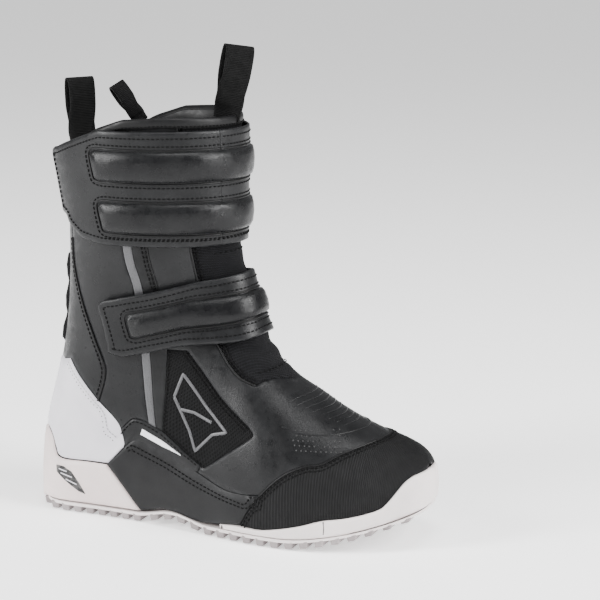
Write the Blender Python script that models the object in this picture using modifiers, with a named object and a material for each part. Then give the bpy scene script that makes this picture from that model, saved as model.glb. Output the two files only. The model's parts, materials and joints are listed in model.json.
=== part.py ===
"""Mid-height touring boot, right foot, as separate solids around an ankle hinge.

Lengths below are millimetres: X from the heel towards the toe, Y from the outer side (negative)
to the inner side (positive), Z up from the ground. Every solid is written in metres.
"""
import math
import bpy
import bmesh
from mathutils import Matrix, Vector

# overall placement
X_MID = 136.9        # middle of the finished boot, from the heel datum
Y_MID = -0.2
GAP = 0.2            # half the seam gap between neighbouring panels, before the share for thickness
GAP_SHARE = 0.1
LEATHER = 2.0
LINING_OUT = -4.0
LINING = 2.0
# ankle hinge: centre in side view, the shaft's round hub and the foot's round notch
PIVOT = (62.0, 108.0)
HUB_R = 22.0
NOTCH_R = 22.6
# strap build-up above the shaft surface
LOOP_PAD = 0.8
HOOK_PAD = 2.0
STRAP_IN = 3.2
STRAP_T = 2.2
RIB_IN = 6.0
RIB_T = 3.4
LUG_DEPTH = 4.0
SOLE_WEB = 2.0       # least thickness of the outsole over a groove
LOOP_GAP = 9.6       # width of a pull loop across its legs, between wall centres
LOOP_LIFT = 1.6      # pull loop above the finished top edge
# strap hinge lines: angles round the shaft, from the sewn root to the free end
UPPER_HINGES = (-95, -20, 72, 158)
LOWER_HINGES = (-80, -12, 106)
# top edge of the moulded heel cup, in side view
CUP_EDGE = ((24, 110.3), (36.9, 97.1), (50.3, 83.8), (64.2, 71.0))

# body sections from toe tip to collar: front point, back point, half widths, centre,
# height fraction of the widest line, roundness above it and below it
STATIONS = (
    (281, 52, 281, 20, 4, 4, 3, .50, 1.0, 1.0),
    (280, 56, 280, 18, 14, 14, 3, .48, 1.0, .8),
    (275, 61, 275, 14, 24, 23, 3, .45, 1.0, .6),
    (267, 65, 267, 10, 32, 31, 3, .42, .95, .5),
    (256, 69, 256, 6, 39, 37, 2, .40, .90, .45),
    (242, 74, 242, 2, 45, 41, 1, .38, .88, .42),
    (222, 82, 222, -2, 50, 44, 0, .36, .86, .40),
    (200, 95, 200, -4, 52, 44, -1, .34, .84, .38),
    (180, 108, 172, -5, 50, 42, -2, .33, .84, .38),
    (168, 122, 145, -5, 45, 38, -3, .33, .86, .38),
    (160, 136, 115, -4, 41, 36, -2, .34, .90, .38),
    (154, 150, 80, -3, 38, 35, -1, .37, .94, .40),
    (150, 162, 40, -4, 37, 36, 0, .40, .97, .42),
    (147, 173, 2, -6, 37, 37, 0, .43, .98, .48),
    (144, 183, -6, 14, 37, 37, 0, .46, 1.0, .62),
    (142, 193, -6, 55, 37, 37, 0, .48, 1.0, .88),
    (141, 204, 5, 100, 39, 39, 0, .50, 1.0, 1.0),
    (141, 217, 12, 135, 42, 42, 0, .50, 1.0, 1.0),
    (141, 233, 15, 168, 44, 44, 0, .50, 1.0, 1.0),
    (141, 250, 16, 202, 46, 46, 0, .50, 1.0, 1.0),
    (141, 268, 17, 236, 48, 48, 0, .50, 1.0, 1.0),
    (141, 290, 18, 274, 50, 50, 0, .50, 1.0, 1.0),
)
COLLAR_LINE = ((10, 259), (18, 259), (30, 261), (42, 266), (58, 275), (79, 282), (106, 284), (150, 283))

MATERIALS = {
    "leather": ((0.035, 0.036, 0.040, 1), 0.55, 0.0),
    "textile": ((0.018, 0.018, 0.020, 1), 0.85, 0.0),
    "webbing": ((0.022, 0.022, 0.024, 1), 0.9, 0.0),
    "ripstop": ((0.030, 0.030, 0.033, 1), 0.7, 0.0),
    "rubber": ((0.30, 0.27, 0.275, 1), 0.8, 0.0),
    "foam": ((0.74, 0.71, 0.70, 1), 0.6, 0.0),
    "counter": ((0.72, 0.63, 0.61, 1), 0.5, 0.0),
    "cup": ((0.66, 0.64, 0.67, 1), 0.45, 0.0),
    "reflective": ((0.20, 0.20, 0.21, 1), 0.35, 0.0),
    "board": ((0.36, 0.30, 0.22, 1), 0.9, 0.0),
}


def rounded(t):
    """Section values at station position t, by a Catmull-Rom curve through the stations."""
    last = len(STATIONS) - 1
    t = min(max(t, 0.0), last - 1e-9)
    i = int(t)
    f = t - i
    b, c = STATIONS[i], STATIONS[i + 1]
    a = STATIONS[i - 1] if i else [2 * p - q for p, q in zip(b, c)]
    d = STATIONS[i + 2] if i + 2 <= last else [2 * p - q for p, q in zip(c, b)]
    out = []
    for p, q, r, s in zip(a, b, c, d):
        out.append(q + 0.5 * f * (r - p + f * (2 * p - 5 * q + 4 * r - s + f * (3 * (q - r) + s - p))))
    return out


def section_point(t, phi):
    """Point of the body at section t; phi runs 0 front, 90 outer side, 180 back, 270 inner side."""
    fx, fz, bx, bz, wide_l, wide_m, mid, kappa, upper, lower = rounded(t)
    c, s = math.cos(phi), math.sin(phi)
    if c > 0:
        h = kappa + (1 - kappa) * c
        spread = abs(s) ** upper
    else:
        h = kappa - kappa * abs(c) ** lower
        spread = abs(s) ** lower
    half = wide_l if s >= 0 else -wide_m
    return Vector((bx + (fx - bx) * h, mid - half * spread, bz + (fz - bz) * h))


def skin(t, phi, offset=0.0):
    """Body surface point moved outward by offset."""
    p = section_point(t, phi)
    if not offset:
        return p
    dt, dp = 0.15, 0.06
    along = section_point(min(t + dt, 20.99), phi) - section_point(max(t - dt, 0.0), phi)
    around = section_point(t, phi + dp) - section_point(t, phi - dp)
    return p + along.cross(around).normalized() * offset


def bisect(test, low, high):
    """Value where test turns from False to True."""
    for _ in range(44):
        mid = 0.5 * (low + high)
        if test(mid):
            high = mid
        else:
            low = mid
    return 0.5 * (low + high)


def outer(x, z):
    """Surface parameters of the outer side at side-view position x, z."""
    def past(t):
        fx, fz, bx, bz = rounded(t)[:4]
        return (x - bx) * (fz - bz) - (z - bz) * (fx - bx) > 0
    t = bisect(past, 0.0, 21.0)
    fx, fz, bx, bz, _, _, _, kappa, _, lower = rounded(t)
    h = ((x - bx) * (fx - bx) + (z - bz) * (fz - bz)) / ((fx - bx) ** 2 + (fz - bz) ** 2)
    h = min(max(h, 0.0), 1.0)
    if h > kappa:
        return t, math.acos((h - kappa) / (1 - kappa))
    return t, math.pi - math.acos(min(1.0, (1 - h / kappa) ** (1 / lower)))


def inner(x, z):
    """Surface parameters of the inner side."""
    t, phi = outer(x, z)
    return t, -phi


def front(z):
    """Point of the front centre line at height z, above the toes."""
    return bisect(lambda t: rounded(t)[1] > z, 0.0, 21.0), 0.0


def ridge(x):
    """Point of the top centre line of the forefoot at x."""
    return bisect(lambda t: rounded(t)[0] < x, 0.0, 9.0), 0.0


def back(z):
    """Point of the back centre line at height z."""
    return bisect(lambda t: rounded(t)[3] > z, 12.5, 21.0), math.pi


def at(angle, z):
    """Point of the shaft at angle round it (degrees) and height z."""
    phi = math.radians(angle)
    return bisect(lambda t: section_point(t, phi).z > z, 6.0, 21.0), phi


def polar(radius, angle):
    """Side-view position at radius and angle from the ankle pivot."""
    a = math.radians(angle)
    return PIVOT[0] + radius * math.cos(a), PIVOT[1] + radius * math.sin(a)


def ray_hit(angle, line):
    """Side-view point where the ray from the ankle pivot meets a polyline."""
    def side(p):
        x, z = polar(1.0, angle)
        return (x - PIVOT[0]) * (p[1] - PIVOT[1]) - (z - PIVOT[1]) * (p[0] - PIVOT[0])
    for a, b in zip(line, line[1:]):
        if side(a) * side(b) <= 0:
            f = side(a) / (side(a) - side(b))
            return a[0] + (b[0] - a[0]) * f, a[1] + (b[1] - a[1]) * f
    return line[-1]


def lerp_table(x, table):
    """Piecewise linear value at x."""
    for (x0, v0), (x1, v1) in zip(table, table[1:]):
        if x <= x1:
            return v0 + (v1 - v0) * max(0.0, x - x0) / (x1 - x0)
    return table[-1][1]


def collar_z(x):
    """Height of the finished top edge at x."""
    return lerp_table(x, COLLAR_LINE)


def collar_at(angle):
    """Height of the finished top edge at an angle round the shaft."""
    return collar_z(18 + 123 * (0.5 + 0.5 * math.cos(math.radians(angle))))


def ground(x):
    """Lowest tread level: heel flat, low arch, ball flat, toe spring."""
    if x > 190:
        return 22.5 * ((x - 190) / 90) ** 1.7
    if 78 < x < 138:
        return 5.5 * math.sin(math.pi * (x - 78) / 60) ** 2
    return 0.0


def tread_top(x):
    """Top face of the outsole."""
    return 6.5 + 0.85 * ground(x)


def feather(x):
    """Top face of the midsole."""
    return lerp_table(x, ((70, 24), (150, 16.5), (200, 15))) + ground(x) * (x > 190)


def make_material(name):
    color, rough, metal = MATERIALS[name]
    mat = bpy.data.materials.new(name)
    mat.use_nodes = True
    shader = mat.node_tree.nodes["Principled BSDF"]
    shader.inputs["Base Color"].default_value = color
    shader.inputs["Roughness"].default_value = rough
    shader.inputs["Metallic"].default_value = metal
    mat.diffuse_color = color
    return mat


def metres(point):
    """World position of a point given in millimetres from the heel datum."""
    return Vector(((point.x - X_MID) / 1000, (point.y - Y_MID) / 1000, point.z / 1000))


def finish(name, bm, material):
    """Write the mesh in metres as one named object with its own material."""
    for v in bm.verts:
        v.co = metres(v.co)
    mesh = bpy.data.meshes.new(name)
    bm.to_mesh(mesh)
    bm.free()
    obj = bpy.data.objects.new(name, mesh)
    PARTS.objects.link(obj)
    mat = make_material(material)
    mat.name = name
    obj.data.materials.append(mat)
    return obj


def hang(pieces, joint):
    """Put the origins of pieces on their joint's axis; joint is in millimetres."""
    place = metres(joint)
    for obj in pieces:
        obj.data.transform(Matrix.Translation(-place))
        obj.location = place


def named(starts, ends=()):
    """Pieces whose names begin with one of starts or end with one of ends."""
    return [obj for obj in PARTS.objects if obj.name.startswith(starts) or obj.name.endswith(ends)]


def split(a, b, count):
    """Parameters after a up to b in count equal steps."""
    return [(a[0] + (b[0] - a[0]) * k / count, a[1] + (b[1] - a[1]) * k / count)
            for k in range(1, count + 1)]


def refine(points, counts):
    """Chain of parameters with each interval cut into its own number of steps."""
    counts = counts if isinstance(counts, (list, tuple)) else [counts] * (len(points) - 1)
    out = [points[0]]
    for a, b, count in zip(points, points[1:], counts):
        out += split(a, b, count)
    return out


def weave(ribs, along, across):
    """Lattice of parameters: ribs refined along themselves, then between each other."""
    ribs = [refine(r, along) for r in ribs]
    lanes = [refine([r[k] for r in ribs], across) for k in range(len(ribs[0]))]
    return [[lane[i] for lane in lanes] for i in range(len(lanes[0]))]


def pull_in(rows, ring, gap):
    """Move the lattice border inward by half a seam gap."""
    def step(a, b):
        d = b - a
        return a + d * min(0.4, gap / max(d.length, 1e-6))
    for row in rows:
        row[0], row[-1] = step(row[0], row[1]), step(row[-1], row[-2])
    if not ring:
        rows[0] = [step(a, b) for a, b in zip(rows[0], rows[1])]
        rows[-1] = [step(a, b) for a, b in zip(rows[-1], rows[-2])]


def panel(name, ribs, material, along=2, across=2, offset=0.0, thick=LEATHER, bulge=None, ring=False):
    """Closed shell panel on the body surface: its outer face at offset, thick inward."""
    lattice = weave(ribs, along, across)
    count = len(lattice[0]) - 1
    rows = []
    for line in lattice:
        row = []
        for k, (t, phi) in enumerate(line):
            extra = bulge(k / count) if bulge else 0.0
            row.append(skin(t, phi, offset + extra))
        rows.append(row)
    pull_in(rows, ring, GAP + GAP_SHARE * thick)
    bm = bmesh.new()
    sheet = bmesh.ops.create_grid(bm, x_segments=count, y_segments=len(rows) - 1, size=1.0)["verts"]
    sheet.sort(key=lambda v: (round(v.co.y, 5), v.co.x))
    for vert, point in zip(sheet, [p for row in rows for p in row]):
        vert.co = point
    if ring:
        bmesh.ops.remove_doubles(bm, verts=bm.verts, dist=0.01)
    bm.normal_update()
    mid = lattice[len(lattice) // 2][len(lattice[0]) // 2]
    face = min(bm.faces, key=lambda f: (f.calc_center_median() - skin(*mid)).length)
    if face.normal.dot(skin(*mid, 1.0) - skin(*mid)) < 0:
        bmesh.ops.reverse_faces(bm, faces=bm.faces)
    obj = finish(name, bm, material)
    shell = obj.modifiers.new("thickness", "SOLIDIFY")
    shell.thickness = thick / 1000
    shell.offset = -1
    shell.use_even_offset = False
    return obj


def half_width(x, z, side, inset=0.0):
    """Signed y of the body side at side-view x, z, measured inset inside the surface."""
    place = outer if side < 0 else inner
    guess = x
    for _ in range(5 if inset else 1):
        p = skin(*place(guess, z), -inset)
        guess += x - p.x if inset else 0.0
    return p.y


def slab(name, stations, material):
    """Solid through four-cornered sections: x, then low and high y at the bottom and at the top, z, z."""
    bm = bmesh.new()
    rings = []
    for x, low0, high0, low1, high1, z0, z1 in stations:
        corners = ((low0, z0), (high0, z0), (high1, z1), (low1, z1))
        rings.append([bm.verts.new((x, y, z)) for y, z in corners])
    for a, b in zip(rings, rings[1:]):
        for k in range(4):
            bm.faces.new((a[k], a[(k + 1) % 4], b[(k + 1) % 4], b[k]))
    bm.faces.new(rings[0][::-1])
    bm.faces.new(rings[-1])
    bmesh.ops.recalc_face_normals(bm, faces=bm.faces)
    if bm.calc_volume(signed=True) < 0:
        bmesh.ops.reverse_faces(bm, faces=bm.faces)
    return finish(name, bm, material)


def bed(name, xs, inset, low, high, material):
    """Flat layer under the foot, its edge held inset from the body surface."""
    stations = []
    for x in xs:
        z0, z1 = low(x), high(x)
        sides = [half_width(x, z, side, inset) for z in (z0, z1) for side in (-1, 1)]
        stations.append((x, *sides, z0, z1))
    return slab(name, stations, material)


def tread(name):
    """Outsole with transverse lugs that read as teeth from the side."""
    cuts = [(-4, 1)]
    starts = [-1 + 9.6 * k for k in range(9)] + [90, 101, 112, 123] + [134 + 10.4 * k for k in range(14)]
    for x in starts:
        width = 6.4 if x < 85 or x > 130 else 7.0
        cuts += [(x, 1), (x + 0.8, 0), (x + width - 0.8, 0), (x + width, 1)]
    cuts.append((281, 1))
    stations = []
    for x, groove in cuts:
        edge = min(1.0, math.sqrt(max(0.06, 1 - ((x - 20) / 25.5) ** 2))) if x < 20 else 1.0
        if x > 258:
            edge = math.sqrt(max(0.05, 1 - ((x - 258) / 24) ** 2))
        look = min(max(x, 16), 262)
        z = tread_top(look) + 4
        y0 = (half_width(look, z, -1) - 1.5) * edge
        y1 = (half_width(look, z, 1) + 1.5) * edge
        depth = min(LUG_DEPTH, tread_top(x) - ground(x) - SOLE_WEB) if groove else 0.0
        stations.append((x, y0, y1, y0, y1, ground(x) + depth, tread_top(x)))
    return slab(name, stations, "rubber")


def band(columns, side, order=1):
    """Ribs for one side from side-view columns."""
    place = outer if side < 0 else inner
    return [[place(*p) for p in column] for column in columns][::order]


def both_sides(columns, centre):
    """Ribs from the outer side round the centre rib to the inner side."""
    return band(columns, -1) + [centre] + band(columns, 1, -1)


def wrapped(ribs):
    """Ribs with inner-side angles continued past 180 degrees, for panels round the back."""
    return [[(t, phi if phi >= 0 else phi + 2 * math.pi) for t, phi in rib] for rib in ribs]


def webbing_loop(name, x, y, lean, height, width):
    """Webbing pull loop on the collar: a teardrop path, open fore and aft, swept over the width.

    lean is the slope of the loop along X.
    """
    up = Vector((lean, 0, 1)).normalized()
    out = Vector((0, -1, 0))
    side = up.cross(out)
    base = Vector((x, y, collar_z(x) + LOOP_LIFT + 0.5 * width * abs(up.x)))
    half = LOOP_GAP / 2
    path = ((0, 0), (0.45, 0.03), (0.8, 0.25), (1, 0.6), (0.9, 0.85), (0.5, 0.97), (0, 1),
            (-0.5, 0.97), (-0.9, 0.85), (-1, 0.6), (-0.8, 0.25), (-0.45, 0.03))
    rails = [[base + out * (a * half) + up * (b * height) + side * w for a, b in path]
             for w in (-width / 2, width / 2)]
    bm = bmesh.new()
    verts = [[bm.verts.new(p) for p in rail] for rail in rails]
    for k in range(len(path)):
        n = (k + 1) % len(path)
        bm.faces.new((verts[0][k], verts[0][n], verts[1][n], verts[1][k]))
    obj = finish(name, bm, "webbing")
    wall = obj.modifiers.new("thickness", "SOLIDIFY")
    wall.thickness = 0.0014
    wall.offset = 0
    hang([obj], base)


def build_sole():
    tread("outsole")
    xs = (5, 14, 28, 45, 62, 78, 90, 102, 114, 126, 138, 150, 166, 182, 200, 216, 232, 246, 255, 262)
    bed("midsole", xs, 3.4, lambda x: tread_top(x) + 0.5, feather, "foam")
    deck = (15, 24, 40, 70, 100, 130, 150, 175, 200, 222, 238, 249)
    bed("insole_board", deck, 7.0, lambda x: feather(x) + 2.0, lambda x: feather(x) + 3.4, "board")
    bed("footbed", deck, 7.4, lambda x: feather(x) + 3.8, lambda x: feather(x) + 7.8, "textile")

    def low(x):
        return tread_top(x) + (0.6 if x < 240 else 1.2)
    edge = ((147, 9.5), (158, 10.6), (179, 10.8), (193, 13.5), (207, 17), (222, 22), (237, 24), (250, 27),
            (259, 30), (264, 36.5), (267.6, 42), (271, 47), (275, 50), (281, 51.4))
    columns = [[(x, low(x)), (x, z)] for x, z in edge]
    columns[-1][0] = (281, low(281))
    panel("forefoot_foxing", band(columns, -1) + band(columns, 1, -1), "foam", along=2, across=1,
          offset=1.2, thick=3.4)

    side = [[(81.5, 7.4), (68.5, 24), (55.6, 38.3)], [(66, 7.1), (58, 23), (48, 39.3)],
            [(50, 7.1), (42, 23), (38, 39.4)], [(34, 7.1), (28, 22), (27, 39)],
            [(18, 7.1), (15, 22), (17, 38)],
            [(9, 7.1), (6, 24), (8, 50)], [(3, 7.4), (0, 26), (1, 55)]]
    centre = [back(7.6), back(27), back(57)]
    panel("heel_counter", wrapped(both_sides(side, centre)), "counter", along=2, across=1, offset=1.4,
          thick=3.2)
    panel("heel_badge", band([[(16, 26), (18, 32)], [(27, 19), (29, 31)], [(38, 14), (39, 21)]], -1),
          "textile", along=1, across=2, offset=2.5, thick=0.8)


def build_foot_upper():
    cup = [[(57.3, 40.4), (70.3, 53.6)], [(50, 40.4), (63.6, 70.4)], [(40, 40.4), (50, 83.2)],
           [(28, 40), (36.4, 96.6)], [(18, 39), (24, 108.6)], [(8.5, 51.5), (13, 109)],
           [(3, 55.6), (8, 109.3)]]
    panel("heel_cup", wrapped(both_sides(cup, [back(58), back(109.6)])), "cup", along=4, across=1,
          offset=0.5, thick=2.5)
    heel_line = [(a, *ray_hit(a, CUP_EDGE)) for a in (178, 190, 200, 210, 220, 231, 243, 256)]
    lateral = heel_line + [(270, 62, 72.9), (279, 67, 67.2), (287, 72.5, 70.7), (295, 77, 74.2),
                           (303, 84.8, 72.6), (308.5, 89.6, 72.6), (318, 89, 82.8), (330, 88.4, 92.4),
                           (342, 87.8, 99.4), (357, 87.4, 106)]
    medial = heel_line + [(270, 62, 72.9), (273, 64.4, 71), (279, 71.4, 54.4), (290, 83.2, 50.3),
                          (299, 95.7, 47.4), (308, 112, 44.5), (320, 116.5, 62), (330, 119.3, 75), (342, 123.5, 88),
                          (357, 128, 104.6)]
    for name, line, side in (("quarter_outer", lateral, -1), ("quarter_inner", medial, 1)):
        ribs = [[polar(NOTCH_R, a), (x, z)] for a, x, z in line]
        panel(name, band(ribs, side), "leather", along=2, across=1)

    panel("reflective_strip_low", band([[(91.2, 72.6), (90, 89.6), (88.6, 106)],
                                        [(98, 69.6), (98, 88), (98, 105.6)]], -1),
          "reflective", along=2, across=1)
    window = [[(98, 69.3), (98, 88), (98, 105.4)], [(108, 62.4), (110, 84), (112, 104.8)],
              [(120, 55), (122.8, 80), (125.5, 104)], [(132, 48.9), (139, 70.5), (146, 92)],
              [(150, 60), (154, 71.5), (158, 82.6)], [(164.4, 68.4), (165.6, 72), (166.6, 75.4)]]
    panel("mesh_window", band(window, -1), "textile", along=2, across=1, offset=-0.5, thick=1.5)
    mark = [[(118, 78), (122, 84)], [(128, 68), (132, 90)], [(140, 70), (142, 84)], [(147, 74), (148, 78)]]
    panel("side_emblem", band(mark, -1), "reflective", along=2, across=1, offset=0.5, thick=0.7)
    panel("instep_facing", band([[(126.2, 104.4), (147, 92.8), (168.2, 76.6)],
                                 [(156, 104), (166, 103.2), (175.2, 98)]], -1),
          "leather", along=2, across=2)

    rand = [[(83, 8.2), (69.6, 24.4), (56.6, 39)], [(92, 11), (81, 32), (71.6, 51.6)],
            [(101, 12.8), (91, 34), (81, 57.6)], [(113, 12.4), (105, 31), (97, 52.6)],
            [(130, 8.8), (128, 25), (126, 41.6)], [(146.5, 11), (148, 22), (149, 33.6)],
            [(163, 12.2), (170, 24), (177.2, 33.8)]]
    panel("rand_outer", band(rand, -1), "leather", along=2, across=1, offset=0.6, thick=2.6)
    rand_in = [c[:2] + [t] for c, t in zip(rand, ((56.6, 39), (71.6, 52), (82, 49.6), (97, 46.2), (126, 39),
                                                  (149, 34), (177.2, 33.6)))]
    panel("rand_inner", band(rand_in, 1), "leather", along=2, across=1, offset=0.6, thick=2.6)
    tab = [[(72.3, 52.8), (67.6, 65.4)], [(81, 58.4), (77, 73.6)], [(90, 55.4), (89.6, 71)],
           [(98, 52.9), (100, 66.8)], [(112, 48), (114, 58)], [(127, 42.2), (131, 48.2)]]
    panel("heel_tab", band(tab, -1), "leather", along=2, across=1, offset=0.3, thick=2.3)
    wedge = [[(83, 64.4), (84, 67)], [(100, 57.4), (101, 60.2)], [(117, 51.2), (118, 53.2)]]
    panel("side_wedge", band(wedge, -1),
          "reflective", along=1, across=2, offset=1.3, thick=0.7)

    left = [[(127.6, 42.6), (167, 70.4), (177.4, 97.4)], [(150, 34.4), (176, 61), (188, 86)],
            [(178.4, 34.4), (197, 51.6), (224, 62)]]
    right = [[(112.4, 43.8), (120, 74), (128.6, 103.6), (160, 102.6)],
             [(140, 37.4), (153, 60), (163, 76), (180, 91)],
             [(178.4, 34.4), (197, 51.6), None, (224, 62)]]
    crest = [front(104.8), ridge(199), ridge(250)]
    right = [[inner(*p) if p else None for p in rib] for rib in right]
    right[2][2] = split(right[2][1], right[2][3], 2)[0]
    ribs = [[outer(*p) for p in a] + [c] + b[::-1] for a, b, c in zip(left, right, crest)]
    panel("vamp", ribs, "leather", along=[3, 3, 3, 3, 2, 2, 3], across=3)

    cap = [[(164.4, 11.6), (179, 34), (198, 51), (226, 61.4)], [(190, 13.6), (205, 36), (222, 50), (242, 60)],
           [(222, 22.8), (232, 40), (244, 50), (256, 58)], [(245, 26.8), (253, 42), (261, 52), (267, 58.4)],
           [(259.4, 32), (265.6, 45.4), (270, 54), (273.6, 58)],
           [(266.2, 43), (269.4, 50), (272.8, 55.4), (275.6, 57.6)],
           [(271.8, 50.2), (274.8, 52), (277.6, 53.4), (279.6, 54.2)]]
    tops = [ridge(252), ridge(260.5), ridge(268), ridge(273), ridge(276.5), ridge(278.3), ridge(280.7)]
    ribs = [[outer(*p) for p in c] + [m] + [inner(*p) for p in c[::-1]] for c, m in zip(cap, tops)]
    panel("toe_cap", ribs, "ripstop", along=2, across=[2, 2, 2, 1, 1, 1], offset=0.4, thick=2.4)


def build_lining():
    lanes = []
    for x in (270, 264, 256, 244, 230, 215, 200, 188, 177):
        low = [place(x, feather(x) + 1.4) for place in (outer, inner)]
        lane = [(low[0][0], low[0][1] * k / 3) for k in (3, 2, 1, 0)]
        lanes.append(lane + [(low[1][0], low[1][1] * k / 3) for k in (1, 2, 3)])
    panel("toe_lining", lanes, "textile", along=2, across=1, offset=LINING_OUT, thick=LINING)
    side = [[(166, 20), (171, 99)], [(150, 20), (153, 100)], [(130, 21), (132, 100)], [(110, 22), (112, 97)],
            [(90, 24), (90, 84)], [(62, 26), (62, 83)], [(40, 27), (40, 89)], [(22, 28), (24, 104)],
            [(12, 28), (14, 106)]]
    panel("heel_lining", wrapped(both_sides(side, [back(30), back(106)])), "textile", along=4, across=1,
          offset=LINING_OUT, thick=LINING)


def shaft_line(points, top_x, drop=4.4):
    """Side-view column up the shaft: given points, then the top edge at top_x."""
    return points + [(top_x, collar_z(top_x) - drop)]


def build_shaft():
    # rear leather between the two quarter seams
    side = shaft_line([(24.2, 124.2), (27, 165), (28, 196)], 27)
    spine = [back(130.4), back(165), back(196), back(254.4)]
    panel("shaft_back", wrapped([[outer(*p) for p in side], spine, [inner(*p) for p in side]]), "leather",
          along=[3, 2, 4], across=3)
    # quarters with the round hub that turns in the foot's notch
    feet = [(24.6, 124), (33, 120.4), (41.2, 117), (41.8, 100.2)]
    feet += [polar(HUB_R, a) for a in (216, 230, 244, 258, 272, 286, 300, 314, 327, 338)] + [(82.4, 117.4)]
    columns = []
    for x, z in feet:
        f = (x - feet[0][0]) / (feet[-1][0] - feet[0][0])
        columns.append(shaft_line([(x, z), (27.4 + 53.2 * f, 165), (28.4 + 46.2 * f, 196)], 27.4 + 44.2 * f))
    panel("shaft_quarter_outer", band(columns, -1), "leather", along=[3, 2, 4], across=1)
    panel("shaft_quarter_inner", band(columns, 1), "leather", along=[3, 2, 4], across=1)
    seams = [shaft_line([(82.8, 117.6), (81, 165), (75, 196)], 72),
             shaft_line([(91, 121.5), (88.5, 165), (83, 196)], 80),
             shaft_line([(101, 126.2), (97, 166), (92, 199)], 88),
             shaft_line([(131, 140.2), (123, 166), (119, 200)], 115)]
    for name, k, material in (("reflective_strip_high", 0, "reflective"), ("shaft_band_outer", 1, "textile")):
        panel(name, band(seams[k:k + 2], -1), material, along=[3, 2, 4], across=1)
    panel("shaft_facing_outer", band(seams[2:4], -1), "leather", along=[3, 2, 4], across=3)
    panel("shaft_facing_inner", band(seams, 1), "leather", along=[3, 2, 4], across=[1, 2, 3])
    middle = [front(149.6), front(166), front(200), front(278.4)]
    edge = seams[3]
    panel("front_gusset", [[outer(*p) for p in edge], middle, [inner(*p) for p in edge]], "textile",
          along=[2, 3, 5], across=4, offset=0.0)
    # closed rings: lining and collar binding
    angles = [360 * k / 24 for k in range(25)]
    low = [lerp_table(math.cos(math.radians(a)), ((-1, 134), (-0.4, 133), (0.3, 136), (1, 156))) for a in angles]
    ribs = [[at(a, z), at(a, collar_at(a) - 4.4)] for a, z in zip(angles, low)]
    panel("shaft_lining", ribs, "textile", along=5, across=1, offset=LINING_OUT, thick=LINING, ring=True)
    ribs = [[at(a, collar_at(a) - 3.8), at(a, collar_at(a))] for a in angles]
    panel("collar_binding", ribs, "textile", along=2, across=1, offset=0.6, thick=7.0, ring=True)
    # ankle protectors inside the hub, on both sides
    disc = [[polar(12, 90 + 180 * k / 8), polar(12, 90 - 180 * k / 8)] for k in range(1, 8)]
    panel("ankle_guard_outer", band(disc, -1), "foam", along=5, across=1, offset=-4.4, thick=2.4)
    panel("ankle_guard_inner", band(disc, 1), "foam", along=5, across=1, offset=-4.4, thick=2.4)


def build_flex_zones():
    def folds(count, height):
        return lambda v: height * math.sin(math.pi * count * v) ** 2
    side = [[(39.6, 109.1), (41.4, 115.4)], [(32, 110), (32.4, 119)], [(24.6, 110.4), (24.2, 122.2)],
            [(14, 110.8), (14.4, 125)]]
    panel("rear_flex", wrapped(both_sides(side, [back(111), back(127.6)])), "textile", along=6, across=1,
          thick=4.5, bulge=folds(3, 1.6))
    wedge = [[(85.2, 107.8), (83.4, 116.6)], [(99, 107.2), (96, 122.4)], [(113, 106.6), (108, 128)],
             [(127, 106.2), (120, 133.6)], [(141, 106), (127.6, 137)], [(154.6, 106), (131.2, 138.6)]]
    panel("side_flex_outer", band(wedge, -1), "textile", along=4, across=1, thick=4.5)
    panel("side_flex_inner", band(wedge, 1), "textile", along=4, across=1, thick=4.5)
    edge = [[(155.6, 106.6), (132.2, 139)], [(167, 108), (141, 143)]]
    panel("front_flex", both_sides(edge, [front(110.4), front(148)]), "textile", along=6, across=2,
          thick=4.5, bulge=folds(3, 1.4))


def strap_piece(name, angles, low, high, material, offset, thick, across=1, along=3):
    """Strap part over a run of angles round the shaft, between two edge-height functions."""
    ribs = [[at(a, low(a)), at(a, high(a))] for a in angles]
    return panel(name, ribs, material, along=along, across=across, offset=offset, thick=thick)


def spaced(start, end, step):
    """Angles from start to end in nearly equal steps."""
    count = max(2, round((end - start) / step))
    return [start + (end - start) * k / count for k in range(count + 1)]


def hinge_point(angle, low, high):
    """Middle of a strap's hinge line, on the outer face of its ribs."""
    ends = [skin(*at(angle, z), RIB_IN + RIB_T) for z in (low, high)]
    return (ends[0] + ends[1]) / 2


def build_upper_strap():
    def low(a):
        return lerp_table(a, ((-100, 197), (112, 197), (135, 199), (150, 206), (158, 222)))

    def high(a):
        return lerp_table(a, ((-95, 276), (105, 275), (130, 266), (150, 259), (158, 254)))
    runs = list(zip(UPPER_HINGES, UPPER_HINGES[1:], ("root", "front", "end")))
    for start, end, tag in runs:
        strap_piece("upper_strap_" + tag, spaced(start, end, 9), low, high, "leather", STRAP_IN + STRAP_T,
                    STRAP_T, along=4)
    rows = (("top", 241, 261, -84, 112), ("bottom", 206, 227, -82, 108))
    for row, z0, z1, first, last in rows:
        for start, end, tag in runs:
            a0, a1 = max(start + 0.8, first), min(end - 0.8, last)
            strap_piece("upper_rib_%s_%s" % (row, tag), spaced(a0, a1, 10), lambda a: z0, lambda a: z1,
                        "leather", RIB_IN + RIB_T, RIB_T, along=2)
    pad = spaced(84, 140, 9)
    strap_piece("upper_loop_pad", pad, lambda a: 208, lambda a: 252, "webbing", LOOP_PAD + 0.8, 0.8)
    strap_piece("upper_hook_pad", spaced(96, 146, 9), lambda a: 212, lambda a: 248, "webbing",
                HOOK_PAD + 0.8, 0.8)


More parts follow.
